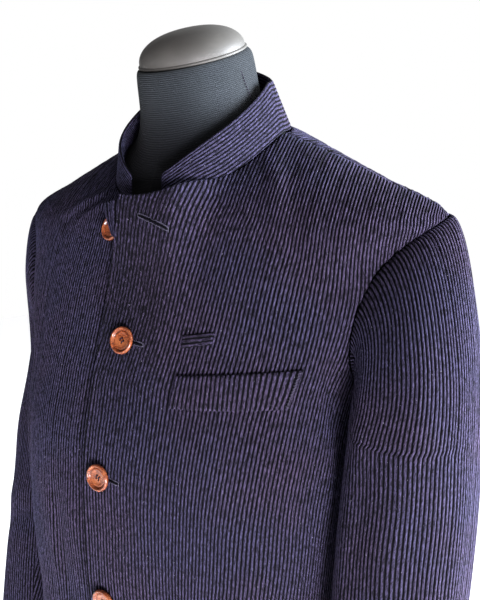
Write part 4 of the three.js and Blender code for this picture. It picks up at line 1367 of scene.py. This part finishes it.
# Painted shade: the cover is darker low down, where the collar stands round it and shades it.
COLLAR_SHADE_LOW, COLLAR_SHADE_HIGH = (0.04, 0.045, 0.075), (0.56, 0.58, 0.57)
COLLAR_SHADE_FROM_Z, COLLAR_SHADE_TO_Z = 1.47, 1.53


def knit_surface(tree):
    parts, vector = cloth_coordinates(tree, across=1.0, along=1.0)
    stitch, rib = (maths(tree, "SINE", maths(tree, "MULTIPLY", parts[k], 2 * math.pi / RIB_PITCH))
                   for k in range(2))
    relief = maths(tree, "MULTIPLY_ADD", stitch, 0.35, rib)
    grain = noise(tree, vector, scale=0.9, detail=4.0, roughness=0.7)
    share = ramp(tree, maths(tree, "MULTIPLY_ADD", grain, 1.6, relief), -0.4, 2.2)
    height = add(tree, "SeparateXYZ", {0: object_place(tree)})[2]
    colour = mix_colour(tree, share, KNIT_GROOVE, KNIT_RIB)
    # Painted shade: the knit darkens towards the bottom of the neck, inside the collar.
    collar_shade = mix_colour(tree, ramp(tree, height, COLLAR_SHADE_FROM_Z, COLLAR_SHADE_TO_Z), COLLAR_SHADE_LOW, COLLAR_SHADE_HIGH)
    return {
        "Base Color": mix_colour(tree, 1.0, colour, collar_shade, "MULTIPLY"),
        "Roughness": 0.9,
        "Specular IOR Level": 0.2,
        "Sheen Weight": 0.03,
        "Sheen Roughness": 0.5,
        "Normal": bump(tree, relief, strength=0.7, distance=0.0004),
    }


CAP_DARK, CAP_LIGHT = (0.074, 0.070, 0.062), (0.090, 0.085, 0.075)


def cap_paint_surface(tree):
    grain = noise(tree, object_place(tree), scale=260.0, detail=4.0, roughness=0.6)
    cloud = noise(tree, object_place(tree), scale=30.0, detail=2.0, roughness=0.5)
    return {
        "Base Color": mix_colour(tree, ramp(tree, cloud, 0.3, 0.7), CAP_DARK, CAP_LIGHT),
        "Metallic": 0.1,
        "Roughness": maths(tree, "MULTIPLY_ADD", grain, 0.14, 0.50),
        "Normal": bump(tree, grain, strength=0.12, distance=0.0002),
    }


HORN_DARK, HORN_BROWN, HORN_PALE = (0.115, 0.024, 0.008), (0.34, 0.080, 0.022), (0.36, 0.105, 0.034)


def horn_surface(tree):
    stretched = add(tree, "Mapping", {"Scale": (1.0, 1.0, 3.2), "Rotation": (0.3, 0.5, 0.4),
                                      "Vector": object_place(tree)})[0]
    streak = noise(tree, stretched, scale=380.0, detail=4.0, roughness=0.6)
    cloud = noise(tree, object_place(tree), scale=120.0, detail=2.0, roughness=0.5)
    streaked = mix_colour(tree, ramp(tree, streak, 0.35, 0.66), HORN_DARK, HORN_BROWN)
    return {
        "Base Color": mix_colour(tree, ramp(tree, cloud, 0.45, 0.8), streaked, HORN_PALE),
        "Roughness": 0.26,
        "Coat Weight": 0.5,
        "Coat Roughness": 0.12,
        "Normal": bump(tree, streak, strength=0.15, distance=0.0002),
    }


STEEL_DARK, STEEL_LIGHT = (0.13, 0.13, 0.135), (0.18, 0.18, 0.185)


def steel_surface(tree):
    grain = noise(tree, object_place(tree), scale=700.0, detail=3.0, roughness=0.6)
    cloud = noise(tree, object_place(tree), scale=14.0, detail=3.0, roughness=0.5)
    return {
        "Base Color": mix_colour(tree, ramp(tree, cloud, 0.3, 0.7), STEEL_DARK, STEEL_LIGHT),
        "Metallic": 1.0,
        "Roughness": maths(tree, "MULTIPLY_ADD", grain, 0.18, 0.34),
    }


DARK_THREAD = (0.012, 0.010, 0.016), (0.035, 0.028, 0.045)
NAVY_THREAD = (0.045, 0.040, 0.062), (0.125, 0.115, 0.16)
SLIT_SHADE = (0.0010, 0.0008, 0.0016), (0.003, 0.0025, 0.005)


def thread_surface(tree, dark, light):
    twist = noise(tree, object_place(tree), scale=2600.0, detail=2.0, roughness=0.5)
    return {
        "Base Color": mix_colour(tree, ramp(tree, twist, 0.35, 0.65), dark, light),
        "Roughness": 0.7,
        "Specular IOR Level": 0.06,
    }


WHITE = (1.0, 1.0, 1.0)
FLOOR_GLOW = 0.45


def pale_floor_surface(tree):
    cloud = noise(tree, object_place(tree), scale=1.5, detail=2.0, roughness=0.5)
    return {
        "Base Color": mix_colour(tree, cloud, (0.93, 0.93, 0.93), (0.96, 0.96, 0.96)),
        "Emission Color": WHITE,
        "Emission Strength": FLOOR_GLOW,
        "Roughness": 0.8,
    }


# The camera stands at the wearer's left front, a little above the collar, and looks slightly down.
CAMERA_PLACE = (349.77, -494.25, 1435.16)
CAMERA_YAW = math.radians(31.46)
CAMERA_PITCH = math.radians(8.67)
CAMERA_ROLL = math.radians(1.08)
CAMERA_LENS = 39.0


def make_camera():
    data = bpy.data.cameras.new("camera")
    data.lens = CAMERA_LENS
    data.sensor_width = 36.0
    data.clip_start = 0.01
    data.clip_end = 100.0
    camera = place_in_scene("camera", data)
    turns = ((CAMERA_YAW, "Z"), (math.pi / 2 - CAMERA_PITCH, "X"), (CAMERA_ROLL, "Z"))
    place = Matrix.Translation(Vector(CAMERA_PLACE) * MM)
    for angle, axis in turns:
        place = place @ Matrix.Rotation(angle, 4, axis)
    camera.matrix_world = place
    bpy.context.scene.camera = camera


def area_light(name, place, target, size, power, colour):
    data = bpy.data.lights.new(name, "AREA")
    data.size = size
    data.energy = power
    data.color = colour
    light = place_in_scene(name, data)
    light.location = place
    light.rotation_mode = "QUATERNION"
    light.rotation_quaternion = (Vector(target) - Vector(place)).to_track_quat("-Z", "Y")


# The backdrop is white all round. The room's light comes from the far side and the right, and from low.
BRIGHT_WALL = (0.50, 0.80, -0.33)
DIM_ROOM = (0.13, 0.12, 0.13)
FLOOR_HALF = 6.0


def make_studio():
    scene = bpy.context.scene
    scene.view_settings.view_transform = "Standard"
    world = bpy.data.worlds.new("studio")
    scene.world = world
    world.use_nodes = True
    background = world.node_tree.nodes["Background"]
    tree = world.node_tree
    way = add(tree, "TexCoord", {})["Generated"]
    towards = add(tree, "VectorMath", {0: way, 1: BRIGHT_WALL}, operation="DOT_PRODUCT")["Value"]
    room = mix_colour(tree, ramp(tree, towards, -0.45, 0.2), DIM_ROOM, WHITE)
    seen = add(tree, "LightPath", {})["Is Camera Ray"]
    feed(tree, background, {"Color": mix_colour(tree, seen, room, WHITE), "Strength": 1.0})
    area_light("window", place=(2.5, 1.3, 1.9), target=(0.1, 0.0, 1.3), size=1.5, power=500.0,
               colour=(0.82, 0.89, 1.0))
    area_light("fill", place=(2.0, -1.7, 0.15), target=(0.0, 0.0, 1.1), size=1.2, power=255.0,
               colour=(0.93, 0.91, 1.0))
    mesh = bpy.data.meshes.new("floor")
    corners = [(x * FLOOR_HALF, y * FLOOR_HALF, 0) for x, y in ((-1, -1), (1, -1), (1, 1), (-1, 1))]
    mesh.from_pydata(corners, [], [(0, 1, 2, 3)])
    floor = place_in_scene("floor", mesh)
    floor.data.materials.append(new_material("floor_pale", pale_floor_surface))


def main():
    cloth = new_material("corduroy", corduroy_surface)
    make_form(new_material("form_knit", knit_surface))
    make_cap(new_material("cap_paint", cap_paint_surface))
    make_stand(new_material("stand_steel", steel_surface))
    for make in (make_fronts, make_backs, make_sleeves, make_collar, make_patches):
        make(cloth)
    dark_thread = new_material("dark_thread", thread_surface, *DARK_THREAD)
    navy_thread = new_material("navy_thread", thread_surface, *NAVY_THREAD)
    make_buttons(new_material("button_horn", horn_surface), dark_thread)
    make_buttonholes(navy_thread, new_material("slit_shade", thread_surface, *SLIT_SHADE))
    make_neck_seam(dark_thread)
    make_welt_stitches(navy_thread)
    make_camera()
    make_studio()


main()
